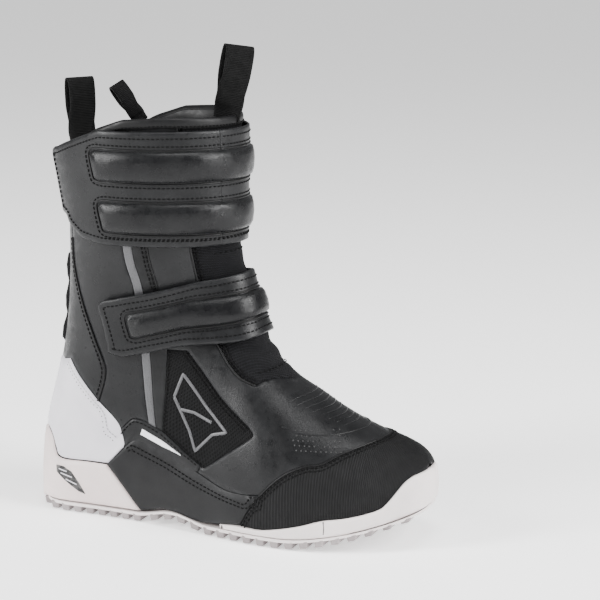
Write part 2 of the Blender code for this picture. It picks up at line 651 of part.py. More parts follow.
def build_lower_strap():
    def low(a):
        return lerp_table(abs(a), ((5, 134), (53, 128), (80, 119), (95, 116), (103, 121), (106, 126)))

    def high(a):
        return lerp_table(abs(a), ((5, 176), (45, 172), (95, 160), (103, 156), (106, 151)))
    runs = list(zip(LOWER_HINGES, LOWER_HINGES[1:], ("root", "end")))
    for start, end, tag in runs:
        strap_piece("lower_strap_" + tag, spaced(start, end, 8), low, high, "leather", STRAP_IN + STRAP_T,
                    STRAP_T, along=4)
    for start, end, tag in runs:
        a0, a1 = max(start + 0.8, -68), min(end - 0.8, 86)
        strap_piece("lower_rib_" + tag, spaced(a0, a1, 9), lambda a: low(a) + 12, lambda a: high(a) - 13,
                    "leather", RIB_IN + RIB_T, RIB_T, along=2)
    strap_piece("lower_loop_pad", spaced(60, 92, 8), lambda a: low(a) + 14, lambda a: high(a) - 12, "webbing",
                LOOP_PAD + 0.8, 0.8)
    strap_piece("lower_hook_pad", spaced(72, 98, 8), lambda a: low(a) + 14, lambda a: high(a) - 12, "webbing",
                HOOK_PAD + 0.8, 0.8)


def build_loops():
    webbing_loop("rear_loop", 21, 3, -0.03, 42, 19)
    webbing_loop("front_loop", 135, -1, 0.20, 43, 20)
    webbing_loop("side_loop", 47, 39, -0.8, 28, 11)


for old in list(bpy.data.objects):
    bpy.data.objects.remove(old, do_unlink=True)
PARTS = bpy.data.collections.new("touring_boot")
bpy.context.scene.collection.children.link(PARTS)
build_sole()
build_foot_upper()
build_lining()
build_shaft()
build_flex_zones()
build_upper_strap()
build_lower_strap()
build_loops()
SHAFT_STARTS = ("shaft_", "ankle_guard_", "collar_", "front_gusset", "reflective_strip_high")
UPPER_ENDS = ("upper_strap_end", "top_end", "bottom_end")
hang(named(SHAFT_STARTS, ("_root", "_loop_pad")), Vector((PIVOT[0], Y_MID, PIVOT[1])))
hang(named("upper_strap_front", ("top_front", "bottom_front")), hinge_point(UPPER_HINGES[1], 200, 272))
hang(named("upper_hook_pad", UPPER_ENDS), hinge_point(UPPER_HINGES[2], 200, 272))
hang(named(("lower_hook_pad", "lower_strap_end", "lower_rib_end")), hinge_point(LOWER_HINGES[1], 136, 174))
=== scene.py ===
"""Looks of the touring boot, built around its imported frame.

Outlines are millimetres on the boot itself: X from the heel towards the toe, Z up from the ground.
They are laid on one body surface, the same loft that the frame's solids follow.
"""
import json
import math
import bpy
import bmesh
import numpy as np
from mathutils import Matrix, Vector
from mathutils.geometry import delaunay_2d_cdt
from mathutils.kdtree import KDTree


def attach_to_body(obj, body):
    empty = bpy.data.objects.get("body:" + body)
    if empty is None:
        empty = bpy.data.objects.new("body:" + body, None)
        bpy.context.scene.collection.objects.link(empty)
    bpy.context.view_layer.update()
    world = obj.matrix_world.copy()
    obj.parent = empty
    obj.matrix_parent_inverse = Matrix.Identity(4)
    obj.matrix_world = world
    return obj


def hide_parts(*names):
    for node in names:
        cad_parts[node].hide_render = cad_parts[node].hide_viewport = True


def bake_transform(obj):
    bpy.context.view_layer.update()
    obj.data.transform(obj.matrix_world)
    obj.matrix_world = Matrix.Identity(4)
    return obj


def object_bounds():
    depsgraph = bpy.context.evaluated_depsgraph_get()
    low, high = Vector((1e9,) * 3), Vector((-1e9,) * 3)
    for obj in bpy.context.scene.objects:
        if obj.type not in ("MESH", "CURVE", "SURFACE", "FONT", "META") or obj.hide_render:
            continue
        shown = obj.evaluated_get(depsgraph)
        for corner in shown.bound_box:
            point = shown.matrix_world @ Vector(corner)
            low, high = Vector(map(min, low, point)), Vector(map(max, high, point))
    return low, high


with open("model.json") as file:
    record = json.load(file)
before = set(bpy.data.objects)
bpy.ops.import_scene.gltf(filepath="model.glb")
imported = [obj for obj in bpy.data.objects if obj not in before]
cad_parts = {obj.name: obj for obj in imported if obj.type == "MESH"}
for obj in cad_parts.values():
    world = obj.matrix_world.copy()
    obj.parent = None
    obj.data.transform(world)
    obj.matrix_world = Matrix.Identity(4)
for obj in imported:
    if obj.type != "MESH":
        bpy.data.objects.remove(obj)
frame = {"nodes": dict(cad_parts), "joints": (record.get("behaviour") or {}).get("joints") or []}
CAD_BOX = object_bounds()
JOINTS = {joint["name"]: joint for joint in frame["joints"]}

# ---------------------------------------------------------------- places and sizes, millimetres
PIVOT = (62.0, 108.0)                       # ankle hinge in side view
HALF_WAY = -0.2                             # y of the ankle hinge's middle
DATUM = Vector(JOINTS["ankle_flex"]["pos_m"]) - Vector((PIVOT[0], HALF_WAY, PIVOT[1])) / 1000
STRAP_TOP = 5.4                             # outer face of the straps above the body
STRAP_THICK = 2.2
RIB_TOP = 9.2                               # crown of the padded ribs above the body
ACROSS, ALONG = 40.0, 15.0                  # chart scale: mm per radian round, mm per section along
BEND_LOW, BEND_HIGH = 106.0, 146.0          # heights at the ankle, listed in RIDES, whose values are not read
FOLD_LOW, FOLD_HIGH = 114.0, 184.0          # heights between which the back is folded
PAD_RADIUS, PAD_BORDER, PAD_DEPTH = 19.0, 6.0, 1.6     # soft pads beside the ankle
STITCH_INSET = 4.6                          # strap stitching inside the strap's edge
FLOOR_SIZE = 60                             # metres, so that its far edge stays out of sight

# One section a row: front x and z, back x and z, outer and inner half width, y of the middle,
# share of the depth behind the widest point, and the side curve's power ahead of it and behind.
STATIONS = np.array((
    (281, 52, 281, 20, 4, 4, 3, .50, 1.0, 1.0),
    (280, 56, 280, 18, 14, 14, 3, .48, 1.0, .8),
    (275, 61, 275, 14, 24, 23, 3, .45, 1.0, .6),
    (267, 65, 267, 10, 32, 31, 3, .42, .95, .5),
    (256, 69, 256, 6, 39, 37, 2, .40, .90, .45),
    (242, 74, 242, 2, 45, 41, 1, .38, .88, .42),
    (222, 82, 222, -2, 50, 44, 0, .36, .86, .40),
    (200, 95, 200, -4, 52, 44, -1, .34, .84, .38),
    (180, 108, 172, -5, 50, 42, -2, .33, .84, .38),
    (168, 122, 145, -5, 45, 38, -3, .33, .86, .38),
    (160, 136, 115, -4, 41, 36, -2, .34, .90, .38),
    (154, 150, 80, -3, 38, 35, -1, .37, .94, .40),
    (150, 162, 40, -4, 37, 36, 0, .40, .97, .42),
    (147, 173, 2, -6, 37, 37, 0, .43, .98, .48),
    (144, 183, -6, 14, 37, 37, 0, .46, 1.0, .62),
    (142, 193, -6, 55, 37, 37, 0, .48, 1.0, .88),
    (141, 204, 5, 100, 39, 39, 0, .50, 1.0, 1.0),
    (141, 217, 12, 135, 42, 42, 0, .50, 1.0, 1.0),
    (141, 233, 15, 168, 44, 44, 0, .50, 1.0, 1.0),
    (141, 250, 16, 202, 46, 46, 0, .50, 1.0, 1.0),
    (141, 268, 17, 236, 48, 48, 0, .50, 1.0, 1.0),
    (141, 290, 18, 274, 50, 50, 0, .50, 1.0, 1.0),
), float)
LAST = len(STATIONS) - 1
PADDED = np.vstack([2 * STATIONS[0] - STATIONS[1], STATIONS, 2 * STATIONS[-1] - STATIONS[-2]])
COLLAR_LINE = ((10, 259), (18, 259), (30, 261), (42, 266), (58, 275), (79, 282), (106, 284), (150, 283))


# ---------------------------------------------------------------- the body surface
def rounded(t):
    """Section values at station positions t, by a Catmull-Rom curve through the stations."""
    t = np.clip(np.asarray(t, float), 0.0, LAST - 1e-6)
    i = t.astype(int)
    f = (t - i)[..., None]
    a, b, c, d = PADDED[i], PADDED[i + 1], PADDED[i + 2], PADDED[i + 3]
    return b + 0.5 * f * (c - a + f * (2 * a - 5 * b + 4 * c - d + f * (3 * (b - c) + d - a)))


def body(t, phi):
    """Points of the body: phi is 0 at the front, 90 degrees on the outer side, 180 at the back."""
    fx, fz, bx, bz, wide_l, wide_m, mid, kappa, upper, lower = np.moveaxis(rounded(t), -1, 0)
    c, s = np.cos(phi), np.sin(phi)
    ahead = c > 0
    h = np.where(ahead, kappa + (1 - kappa) * c, kappa - kappa * np.abs(c) ** lower)
    spread = np.abs(s) ** np.where(ahead, upper, lower)
    half = np.where(s >= 0, wide_l, -wide_m)
    return np.stack([bx + (fx - bx) * h, mid - half * spread, bz + (fz - bz) * h], -1)


def unit(v):
    """Vectors at length one."""
    return v / np.maximum(np.linalg.norm(v, axis=-1, keepdims=True), 1e-12)


def slopes(t, phi):
    """Surface steps for one unit of t and of phi, and the outward normal."""
    dt, dp = 0.12, 0.05
    t1, t0 = np.clip(t + dt, 0, LAST), np.clip(t - dt, 0, LAST)
    along = (body(t1, phi) - body(t0, phi)) / np.maximum(t1 - t0, 1e-6)[..., None]
    around = (body(t, phi + dp) - body(t, phi - dp)) / (2 * dp)
    return along, around, unit(np.cross(along, around))


def skin(chart, offset=0.0):
    """Points of the surface at chart rows (t, phi), moved outward by offset."""
    t, phi = np.asarray(chart, float).T
    return body(t, phi) + slopes(t, phi)[2] * np.reshape(offset, (-1, 1))


def bisect(test, low, high, shape):
    """Values where test turns from False to True."""
    low, high = np.full(shape, float(low)), np.full(shape, float(high))
    for _ in range(32):
        mid = 0.5 * (low + high)
        past = test(mid)
        high = np.where(past, mid, high)
        low = np.where(past, low, mid)
    return 0.5 * (low + high)


def side(points, hand=1):
    """Chart rows of side-view points; hand is 1 for the outer side and -1 for the inner side."""
    x, z = np.asarray(points, float).T

    def past(t):
        fx, fz, bx, bz = np.moveaxis(rounded(t), -1, 0)[:4]
        return (x - bx) * (fz - bz) - (z - bz) * (fx - bx) > 0
    t = bisect(past, 0.0, LAST, x.shape)
    fx, fz, bx, bz, _, _, _, kappa, _, lower = np.moveaxis(rounded(t), -1, 0)
    h = ((x - bx) * (fx - bx) + (z - bz) * (fz - bz)) / ((fx - bx) ** 2 + (fz - bz) ** 2)
    h = np.clip(h, 0, 1)
    ahead = np.arccos(np.clip((h - kappa) / (1 - kappa), -1, 1))
    behind = math.pi - np.arccos(np.clip(1 - h / kappa, 0, 1) ** (1 / lower))
    return np.stack([t, hand * np.where(h > kappa, ahead, behind)], 1)


def ring(points):
    """Chart rows of points given by angle round the shaft in degrees and height."""
    angle, z = np.asarray(points, float).T
    phi = np.radians(angle)
    t = bisect(lambda t: body(t, phi)[..., 2] > z, 6.0, LAST, z.shape)
    return np.stack([t, phi], 1)


def ridge(*xs):
    """Chart rows on the top centre line of the forefoot."""
    xs = np.asarray(xs, float)
    t = bisect(lambda t: rounded(t)[..., 0] < xs, 0.0, 9.0, xs.shape)
    return np.stack([t, np.zeros_like(t)], 1)


def back(*zs):
    """Chart rows on the back centre line."""
    zs = np.asarray(zs, float)
    t = bisect(lambda t: rounded(t)[..., 3] > zs, 12.5, LAST, zs.shape)
    return np.stack([t, np.full_like(t, math.pi)], 1)


def curve(points, step=1.5, smooth=True):
    """Points at close steps through the given ones: a Catmull-Rom curve, or straight runs."""
    p = np.asarray(points, float)
    pad = np.vstack([2 * p[0] - p[1], p, 2 * p[-1] - p[-2]])
    out = []
    for k in range(len(p) - 1):
        a, b, c, d = pad[k:k + 4]
        count = max(1, int(math.ceil(np.linalg.norm(c - b) / step)))
        f = np.linspace(0, 1, count, endpoint=False)[:, None]
        if smooth:
            out.append(b + 0.5 * f * (c - a + f * (2 * a - 5 * b + 4 * c - d + f * (3 * (b - c) + d - a))))
        else:
            out.append(b + (c - b) * f)
    return np.vstack(out + [p[-1:]])


def lane(points, hand=1, smooth=True):
    """Chart path along a side-view curve."""
    return side(curve(points, smooth=smooth), hand)


def round_back(path):
    """Chart path with inner-side angles continued past 180 degrees."""
    path = np.array(path)
    path[path[:, 1] < 0, 1] += 2 * math.pi
    return path


def join(*paths):
    """One closed outline from paths laid end to end, without doubled points."""
    rows = np.vstack(paths)
    keep = [0]
    for k in range(1, len(rows)):
        if np.linalg.norm((rows[k] - rows[keep[-1]]) * (ALONG, ACROSS)) > 0.25:
            keep.append(k)
    if np.linalg.norm((rows[keep[-1]] - rows[0]) * (ALONG, ACROSS)) < 0.25:
        keep.pop()
    return rows[keep]


def beside(path, shift):
    """Chart path moved sideways by shift mm, to the left of its run as seen from outside."""
    path = np.asarray(path, float)
    along, around, normal = slopes(path[:, 0], path[:, 1])
    run = unit(np.gradient(body(path[:, 0], path[:, 1]), axis=0))
    move = np.cross(normal, run) * shift
    aa, bb, ab = (along ** 2).sum(1), (around ** 2).sum(1), (along * around).sum(1)
    ma, mb = (move * along).sum(1), (move * around).sum(1)
    det = aa * bb - ab ** 2
    return path + np.stack([(ma * bb - mb * ab) / det, (mb * aa - ma * ab) / det], 1)


def table(x, rows):
    """Value at x on straight runs between the rows."""
    xs, values = zip(*rows)
    return np.interp(x, xs, values)


def collar_z(x):
    """Height of the finished top edge at x."""
    return table(x, COLLAR_LINE)


def collar_at(angle):
    """Height of the finished top edge at an angle round the shaft."""
    return collar_z(18 + 123 * (0.5 + 0.5 * np.cos(np.radians(angle))))


def ground(x):
    """Lowest tread level: flat heel, low arch, flat ball, toe spring."""
    x = np.asarray(x, float)
    spring = 22.5 * (np.maximum(x - 190, 0) / 90) ** 1.7
    arch = 5.5 * np.sin(math.pi * np.clip((x - 78) / 60, 0, 1)) ** 2
    return spring + arch


def tread_top(x):
    """Top face of the outsole."""
    return 6.5 + 0.85 * ground(x)


# ---------------------------------------------------------------- riding on the frame's bodies
def place(points):
    """World metres from boot millimetres."""
    return np.asarray(points, float) / 1000 + np.array(DATUM)


def spot(x, y, z):
    """World point of a place on the boot."""
    return tuple(place((x, y, z)))


def strap_blend(joint, angle, low, high, reach=9.0):
    """Two points either side of a strap hinge, on the straps' middle line."""
    here = skin(ring([(angle - 2, (low + high) / 2), (angle + 2, (low + high) / 2)]), STRAP_TOP)
    run = unit(here[1] - here[0])
    middle = np.array(JOINTS[joint]["pos_m"])
    return tuple(middle - run * reach / 1000), tuple(middle + run * reach / 1000)


RIDES = {
    "ankle": ("foot", "shaft", spot(62, 0, BEND_LOW), spot(62, 0, BEND_HIGH)),
    "upper_a": ("shaft", "upper_strap_front", *strap_blend("upper_strap_open", -20, 200, 272)),
    "upper_b": ("upper_strap_front", "upper_strap_end", *strap_blend("upper_strap_unwrap", 72, 200, 272)),
    "lower": ("shaft", "lower_strap_end", *strap_blend("lower_strap_open", -12, 136, 174)),
}


def attach(obj, on):
    """Ride on one body; a piece named for a joint in RIDES only has its transform baked in place."""
    if on in RIDES:
        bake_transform(obj)
    else:
        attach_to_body(obj, on)


# ---------------------------------------------------------------- meshes
def make(name, points, faces, mat, on, uv=None, edge=None, smooth=True):
    """A mesh piece from boot millimetres, placed by attach()."""
    mesh = bpy.data.meshes.new(name)
    mesh.from_pydata(place(points).tolist(), [], [list(map(int, f)) for f in faces])
    mesh.materials.append(mat)
    if smooth:
        mesh.polygons.foreach_set("use_smooth", [True] * len(mesh.polygons))
    if uv is not None:
        layer = mesh.uv_layers.new(name="UVMap")
        loops = np.zeros(len(mesh.loops), int)
        mesh.loops.foreach_get("vertex_index", loops)
        layer.data.foreach_set("uv", (np.asarray(uv, float)[loops] / 1000).ravel())
    if edge is not None:
        attribute = mesh.attributes.new("edge", "FLOAT", "POINT")
        attribute.data.foreach_set("value", np.asarray(edge, np.float32))
    mesh.update()
    obj = bpy.data.objects.new(name, mesh)
    bpy.context.scene.collection.objects.link(obj)
    attach(obj, on)
    return obj


def inside(points, outline):
    """Even-odd test of chart points against a closed outline."""
    x, y = points.T
    result = np.zeros(len(points), bool)
    for (x0, y0), (x1, y1) in zip(outline, np.roll(outline, -1, 0)):
        if y0 == y1:
            continue
        crosses = (y0 > y) != (y1 > y)
        result ^= crosses & (x < (x1 - x0) * (y - y0) / (y1 - y0) + x0)
    return result


def distances(points, to):
    """Distance of each point to the nearest of another set."""
    to = np.asarray(to, float)
    tree = KDTree(len(to))
    for k, p in enumerate(to):
        tree.insert(p if len(p) == 3 else (*p, 0.0), k)
    tree.balance()
    flat = points.shape[1] == 2
    return np.array([tree.find((*p, 0.0) if flat else p)[2] for p in points])


def fill(outline, cell, rings):
    """Triangulated chart region: border points, rows just inside it, and an even grid within."""
    flat = outline[:, ::-1] * (ACROSS, ALONG)
    run = unit(np.roll(flat, -1, 0) - np.roll(flat, 1, 0))
    area = 0.5 * np.sum(flat[:, 0] * np.roll(flat[:, 1], -1) - np.roll(flat[:, 0], -1) * flat[:, 1])
    inward = np.stack([-run[:, 1], run[:, 0]], 1) * (1 if area > 0 else -1)
    extra = []
    for depth in rings:
        near = flat + inward * depth
        near = near[inside(near, flat)]
        extra.append(near[distances(near, flat) > 0.85 * depth] if len(near) else near)
    low, high = flat.min(0), flat.max(0)
    us = np.arange(low[0], high[0], cell)
    vs = np.arange(low[1], high[1], cell * 0.87)
    grid = np.array([(u + (k % 2) * cell / 2, v) for k, v in enumerate(vs) for u in us])
    grid = grid[inside(grid, flat)]
    clear = max(rings) + 0.6 * cell if len(rings) else 0.6 * cell
    grid = grid[distances(grid, flat) > clear] if len(grid) else grid
    points = np.vstack([flat] + [e for e in extra if len(e)] + ([grid] if len(grid) else []))
    verts, _, faces, *_ = delaunay_2d_cdt([Vector(p) for p in points], [], [list(range(len(flat)))], 1, 1e-4)
    verts = np.array([v[:] for v in verts])
    return verts, [f for f in faces if len(f) >= 3]


def patch(name, outline, mat, on, low=-0.4, high=0.0, roll=1.0, cell=3.0, relief=None, thick=0.0, rim=None):
    """Piece laid on the body: its border at offset low, rolling up to high within roll mm.

    Where rim is given, only that part of the border rolls; the rest meets the next piece at full height.
    """
    verts, faces = fill(outline, cell, (roll * 0.3, roll))
    chart = np.stack([verts[:, 1] / ALONG, verts[:, 0] / ACROSS], 1)
    t, phi = chart.T
    bare = body(t, phi)
    border = skin(outline if rim is None else rim)
    if rim is None:
        border = np.vstack([border, border[:1]])
    border = np.vstack([border, (border[1:] + border[:-1]) / 2])
    gap = distances(bare, border)
    gap[gap < 0.12] = 0.0
    rise = np.sqrt(1 - (1 - np.clip(gap / max(roll, 1e-3), 0, 1)) ** 2)
    offset = low + (high - low) * rise
    if relief is not None:
        offset = offset + relief(bare, chart, gap)
    points = bare + slopes(t, phi)[2] * offset[:, None]
    first = faces[len(faces) // 2]
    a, b, c = (points[first[k]] for k in range(3))
    if np.dot(np.cross(b - a, c - a), slopes(t, phi)[2][first[0]]) < 0:
        faces = [f[::-1] for f in faces]
    obj = make(name, points, faces, mat, on, uv=verts, edge=np.exp(-gap / 1.6))
    if thick:
        shell = obj.modifiers.new("thickness", "SOLIDIFY")
        shell.thickness = thick / 1000
        shell.offset = -1
    return obj


def grid_piece(name, rows, mat, on, closed=False, uv=None, cap=False):
    """Surface through equal rows of points; closed joins each row's ends."""
    rows = np.asarray(rows, float)
    count, width = rows.shape[:2]
    faces = []
    for i in range(count - 1):
        for k in range(width if closed else width - 1):
            n = (k + 1) % width
            faces.append((i * width + k, i * width + n, (i + 1) * width + n, (i + 1) * width + k))
    if cap:
        faces.append(tuple(range(width))[::-1])
        faces.append(tuple((count - 1) * width + k for k in range(width)))
    flat = None if uv is None else np.asarray(uv, float).reshape(-1, 2)
    return make(name, rows.reshape(-1, 3), faces, mat, on, uv=flat)


def tube_rows(line, normal, radius, sides=8, flat=1.0):
    """Rows of points round a line; flat squeezes the tube along its normal."""
    run = unit(np.gradient(line, axis=0))
    cross = unit(np.cross(normal, run))
    angles = np.arange(sides) / sides * 2 * math.pi
    c, s = np.cos(angles)[None, :, None], np.sin(angles)[None, :, None]
    rim = c * cross[:, None] + flat * s * normal[:, None]
    return line[:, None] + rim * np.reshape(radius, (-1, 1, 1))


def piping(name, path, radius, lift, mat, on, sides=8):
    """Round cord laid along a chart path."""
    normal = slopes(path[:, 0], path[:, 1])[2]
    line = body(path[:, 0], path[:, 1]) + normal * lift
    return grid_piece(name, tube_rows(line, normal, radius, sides), mat, on, closed=True, cap=True)


SEWN = {}


def sew(path, lift, on, pitch=3.2, length=2.3, radius=0.52, thread="thread"):
    """Stitches along a chart path, gathered into one piece for each body."""
    points = skin(path, lift + 0.12)
    normal = slopes(path[:, 0], path[:, 1])[2]
    walk = np.concatenate([[0], np.cumsum(np.linalg.norm(np.diff(points, axis=0), axis=1))])
    centres = np.arange(pitch / 2, walk[-1] - pitch / 4, pitch)
    for s in centres:
        spots = [np.array([np.interp(s + d, walk, points[:, k]) for k in range(3)])
                 for d in (-length / 2, 0, length / 2)]
        n = unit(np.array([np.interp(s, walk, normal[:, k]) for k in range(3)]))
        SEWN.setdefault((on, thread), []).append((spots, n, radius))


def build_stitches():
    """One mesh of small rounded threads for each body and colour."""
    for (on, thread), rows in sorted(SEWN.items()):
        points, faces = [], []
        for (a, m, b), n, radius in rows:
            run = unit(b - a)
            cross = np.cross(n, run)
            base = len(points)
            for centre, size, lift in ((a, .35, -.35), (a * .6 + m * .4, .9, 0), (b * .6 + m * .4, .9, 0),
                                       (b, .35, -.35)):
                for k in range(6):
                    w = k * math.pi / 3
                    points.append(centre + n * lift * radius
                                  + (cross * math.cos(w) + n * math.sin(w)) * size * radius)
            for start in (base, base + 6, base + 12):
                for k in range(6):
                    j = (k + 1) % 6
                    faces.append((start + k, start + j, start + 6 + j, start + 6 + k))
            faces.append([base + k for k in range(5, -1, -1)])
            faces.append([base + 18 + k for k in range(6)])
        make("stitching_%s_%s" % (thread, on), np.array(points), faces, MATS[thread], on)


# ---------------------------------------------------------------- materials
WAVE = 100 * math.pi       # wave texture scale that gives one band per mm on coordinates in metres


class Shader:
    """Short way to build a Principled material from nodes."""

    def __init__(self, name, color, rough):
        self.mat = bpy.data.materials.new(name)
        self.mat.use_nodes = True
        self.tree = self.mat.node_tree
        self.main = self.tree.nodes["Principled BSDF"]
        self.main.inputs["Base Color"].default_value = (*color, 1)
        self.main.inputs["Roughness"].default_value = rough
        self.mat.diffuse_color = (*color, 1)
        self.heights = []

    def node(self, kind, settings=(), **inputs):
        made = self.tree.nodes.new(kind)
        for key, value in dict(settings).items():
            setattr(made, key, value)
        for key, value in inputs.items():
            socket = made.inputs[int(key[1:])] if key[0] == "i" and key[1:].isdigit() else made.inputs[key]
            if isinstance(value, bpy.types.NodeSocket):
                self.tree.links.new(value, socket)
            else:
                socket.default_value = value
        return made

    def coords(self, kind="Object", scale=(1, 1, 1), turn=0.0):
        source = self.node("ShaderNodeTexCoord").outputs[kind]
        return self.node("ShaderNodeMapping", Vector=source, Scale=scale, Rotation=(0, 0, turn)).outputs[0]

    def noise(self, where, scale, detail=3.0, rough=0.55):
        return self.node("ShaderNodeTexNoise", Vector=where, Scale=scale, Detail=detail,
                         Roughness=rough).outputs[0]

    def cells(self, where, scale, feature="DISTANCE_TO_EDGE"):
        return self.node("ShaderNodeTexVoronoi", {"feature": feature}, Vector=where, Scale=scale).outputs[0]

    def wave(self, where, scale, direction="X"):
        return self.node("ShaderNodeTexWave", {"bands_direction": direction}, Vector=where,
                         Scale=scale).outputs["Fac"]

    def math(self, operation, a, b=0.0):
        return self.node("ShaderNodeMath", {"operation": operation}, i0=a, i1=b).outputs[0]

    def span(self, value, low, high, start=0.0, end=1.0):
        return self.node("ShaderNodeMapRange", Value=value, i1=start, i2=end, i3=low, i4=high).outputs[0]

    def colour(self, value, first, second, start=0.0, end=1.0):
        ramp = self.node("ShaderNodeValToRGB", Fac=value)
        ramp.color_ramp.elements[0].position = start
        ramp.color_ramp.elements[0].color = (*first, 1)
        ramp.color_ramp.elements[1].position = end
        ramp.color_ramp.elements[1].color = (*second, 1)
        return ramp.outputs[0]

    def mix(self, share, a, b, how="MIX"):
        made = self.node("ShaderNodeMix", {"data_type": "RGBA", "blend_type": how})
        for socket, value in ((made.inputs[0], share), (made.inputs[6], a), (made.inputs[7], b)):
            if isinstance(value, bpy.types.NodeSocket):
                self.tree.links.new(value, socket)
            else:
                socket.default_value = value if isinstance(value, float) else (*value, 1)
        return made.outputs[2]

    def link(self, value, name):
        self.tree.links.new(value, self.main.inputs[name])

    def bump(self, height, distance, strength=1.0):
        inputs = {"Height": height, "Distance": distance, "Strength": strength}
        made = self.node("ShaderNodeBump", **inputs)
        if self.heights:
            self.tree.links.new(self.heights[-1], made.inputs["Normal"])
        self.heights.append(made.outputs[0])
        self.link(made.outputs[0], "Normal")

    def edge(self):
        return self.node("ShaderNodeAttribute", {"attribute_name": "edge"}).outputs["Fac"]


def leather(name, dark, light, rough, grain=1.0):
    """Full-grain leather: pebbled grain, soft mottling, paler worn edges."""
    s = Shader(name, light, rough)
    where = s.coords()
    mottle = s.noise(where, 55, 4)
    base = s.colour(mottle, dark, light, 0.35, 0.68)
    worn = s.math("MULTIPLY", s.edge(), s.span(s.noise(where, 160, 3), 0.0, 0.75, 0.35, 0.75))
    s.link(s.mix(worn, base, tuple(min(1, 2.6 * v) for v in light)), "Base Color")
    s.link(s.span(s.noise(where, 190, 3), rough - 0.09, rough + 0.12, 0.3, 0.7), "Roughness")
    s.bump(s.noise(where, 95, 3), 0.0004, 0.22 * grain)
    pebble = s.span(s.cells(where, 900), 0, 1, 0, 0.35)
    s.bump(pebble, 0.00015, 0.35 * grain)
    s.main.inputs["Specular IOR Level"].default_value = 0.17
    return s.mat


def woven(name, dark, light, rough, pitch, turn=0.7854, depth=0.00025, sheen=0.15):
    """Woven textile: two crossing sets of threads, pitch in mm."""
    s = Shader(name, light, rough)
    where = s.coords("UV", (1, 1, 1), turn)
    scale = WAVE / pitch
    one = s.wave(where, scale, "X")
    two = s.wave(where, scale, "Y")
    cloth = s.math("MAXIMUM", one, two)
    tone = s.math("MULTIPLY", cloth, s.span(s.noise(s.coords(), 240, 2), 0.75, 1.05, 0.3, 0.7))
    s.link(s.colour(tone, dark, light, 0.2, 0.95), "Base Color")
    s.link(s.span(s.noise(s.coords(), 120, 2), rough - 0.08, min(1, rough + 0.08), 0.3, 0.7), "Roughness")
    s.bump(cloth, depth, 0.9)
    s.main.inputs["Sheen Weight"].default_value = sheen
    s.main.inputs["Sheen Roughness"].default_value = 0.5
    s.main.inputs["Specular IOR Level"].default_value = 0.06
    return s.mat


def ribbed(name, dark, light, rough, pitch, direction="X", depth=0.0003, sheen=0.1, coat=0.0):
    """Textile or webbing with fine parallel ribs, pitch in mm."""
    s = Shader(name, light, rough)
    where = s.coords("UV")
    lines = s.wave(where, WAVE / pitch, direction)
    fine = s.wave(where, 3.1 * WAVE / pitch, "Y" if direction == "X" else "X")
    mixed = s.math("ADD", s.math("MULTIPLY", lines, 0.8), s.math("MULTIPLY", fine, 0.2))
    cloud = s.span(s.noise(s.coords(), 90, 3), 0.8, 1.1, 0.3, 0.7)
    s.link(s.colour(s.math("MULTIPLY", mixed, cloud), dark, light, 0.1, 0.95), "Base Color")
    s.link(s.span(s.noise(s.coords(), 150, 2), rough - 0.08, min(1, rough + 0.1), 0.3, 0.7), "Roughness")
    s.bump(mixed, depth, 0.9)
    s.main.inputs["Sheen Weight"].default_value = sheen
    s.main.inputs["Coat Weight"].default_value = coat
    s.main.inputs["Specular IOR Level"].default_value = 0.12
    return s.mat


def moulded(name, dark, light, rough, grain=0.00012, scuff=(0.5, 0.48, 0.47)):
    """Moulded plastic, foam or rubber: faint clouding, fine texture, scuffed edges."""
    s = Shader(name, light, rough)
    where = s.coords()
    base = s.colour(s.noise(where, 30, 4), dark, light, 0.32, 0.62)
    rub = s.math("MULTIPLY", s.edge(), s.span(s.noise(where, 210, 4), 0.0, 0.5, 0.45, 0.75))
    s.link(s.mix(rub, base, scuff), "Base Color")
    s.link(s.span(s.noise(where, 260, 3), rough - 0.08, min(1, rough + 0.12), 0.3, 0.7), "Roughness")
    s.bump(s.noise(where, 1300, 3), grain, 0.6)
    s.bump(s.noise(where, 45, 2), 0.0004, 0.2)
    return s.mat


def film(name, dark, light):
    """Reflective film: tiny beads under a satin face."""
    s = Shader(name, light, 0.38)
    where = s.coords()
    beads = s.cells(where, 2200, "F1")
    s.link(s.colour(s.math("MULTIPLY", beads, s.span(s.noise(where, 80, 3), 0.7, 1.2, 0.3, 0.7)),
                    light, dark, 0.0, 0.9), "Base Color")
    s.link(s.span(s.noise(where, 140, 3), 0.3, 0.5, 0.3, 0.7), "Roughness")
    s.bump(beads, 0.00006, 0.6)
    s.main.inputs["Metallic"].default_value = 0.2
    return s.mat


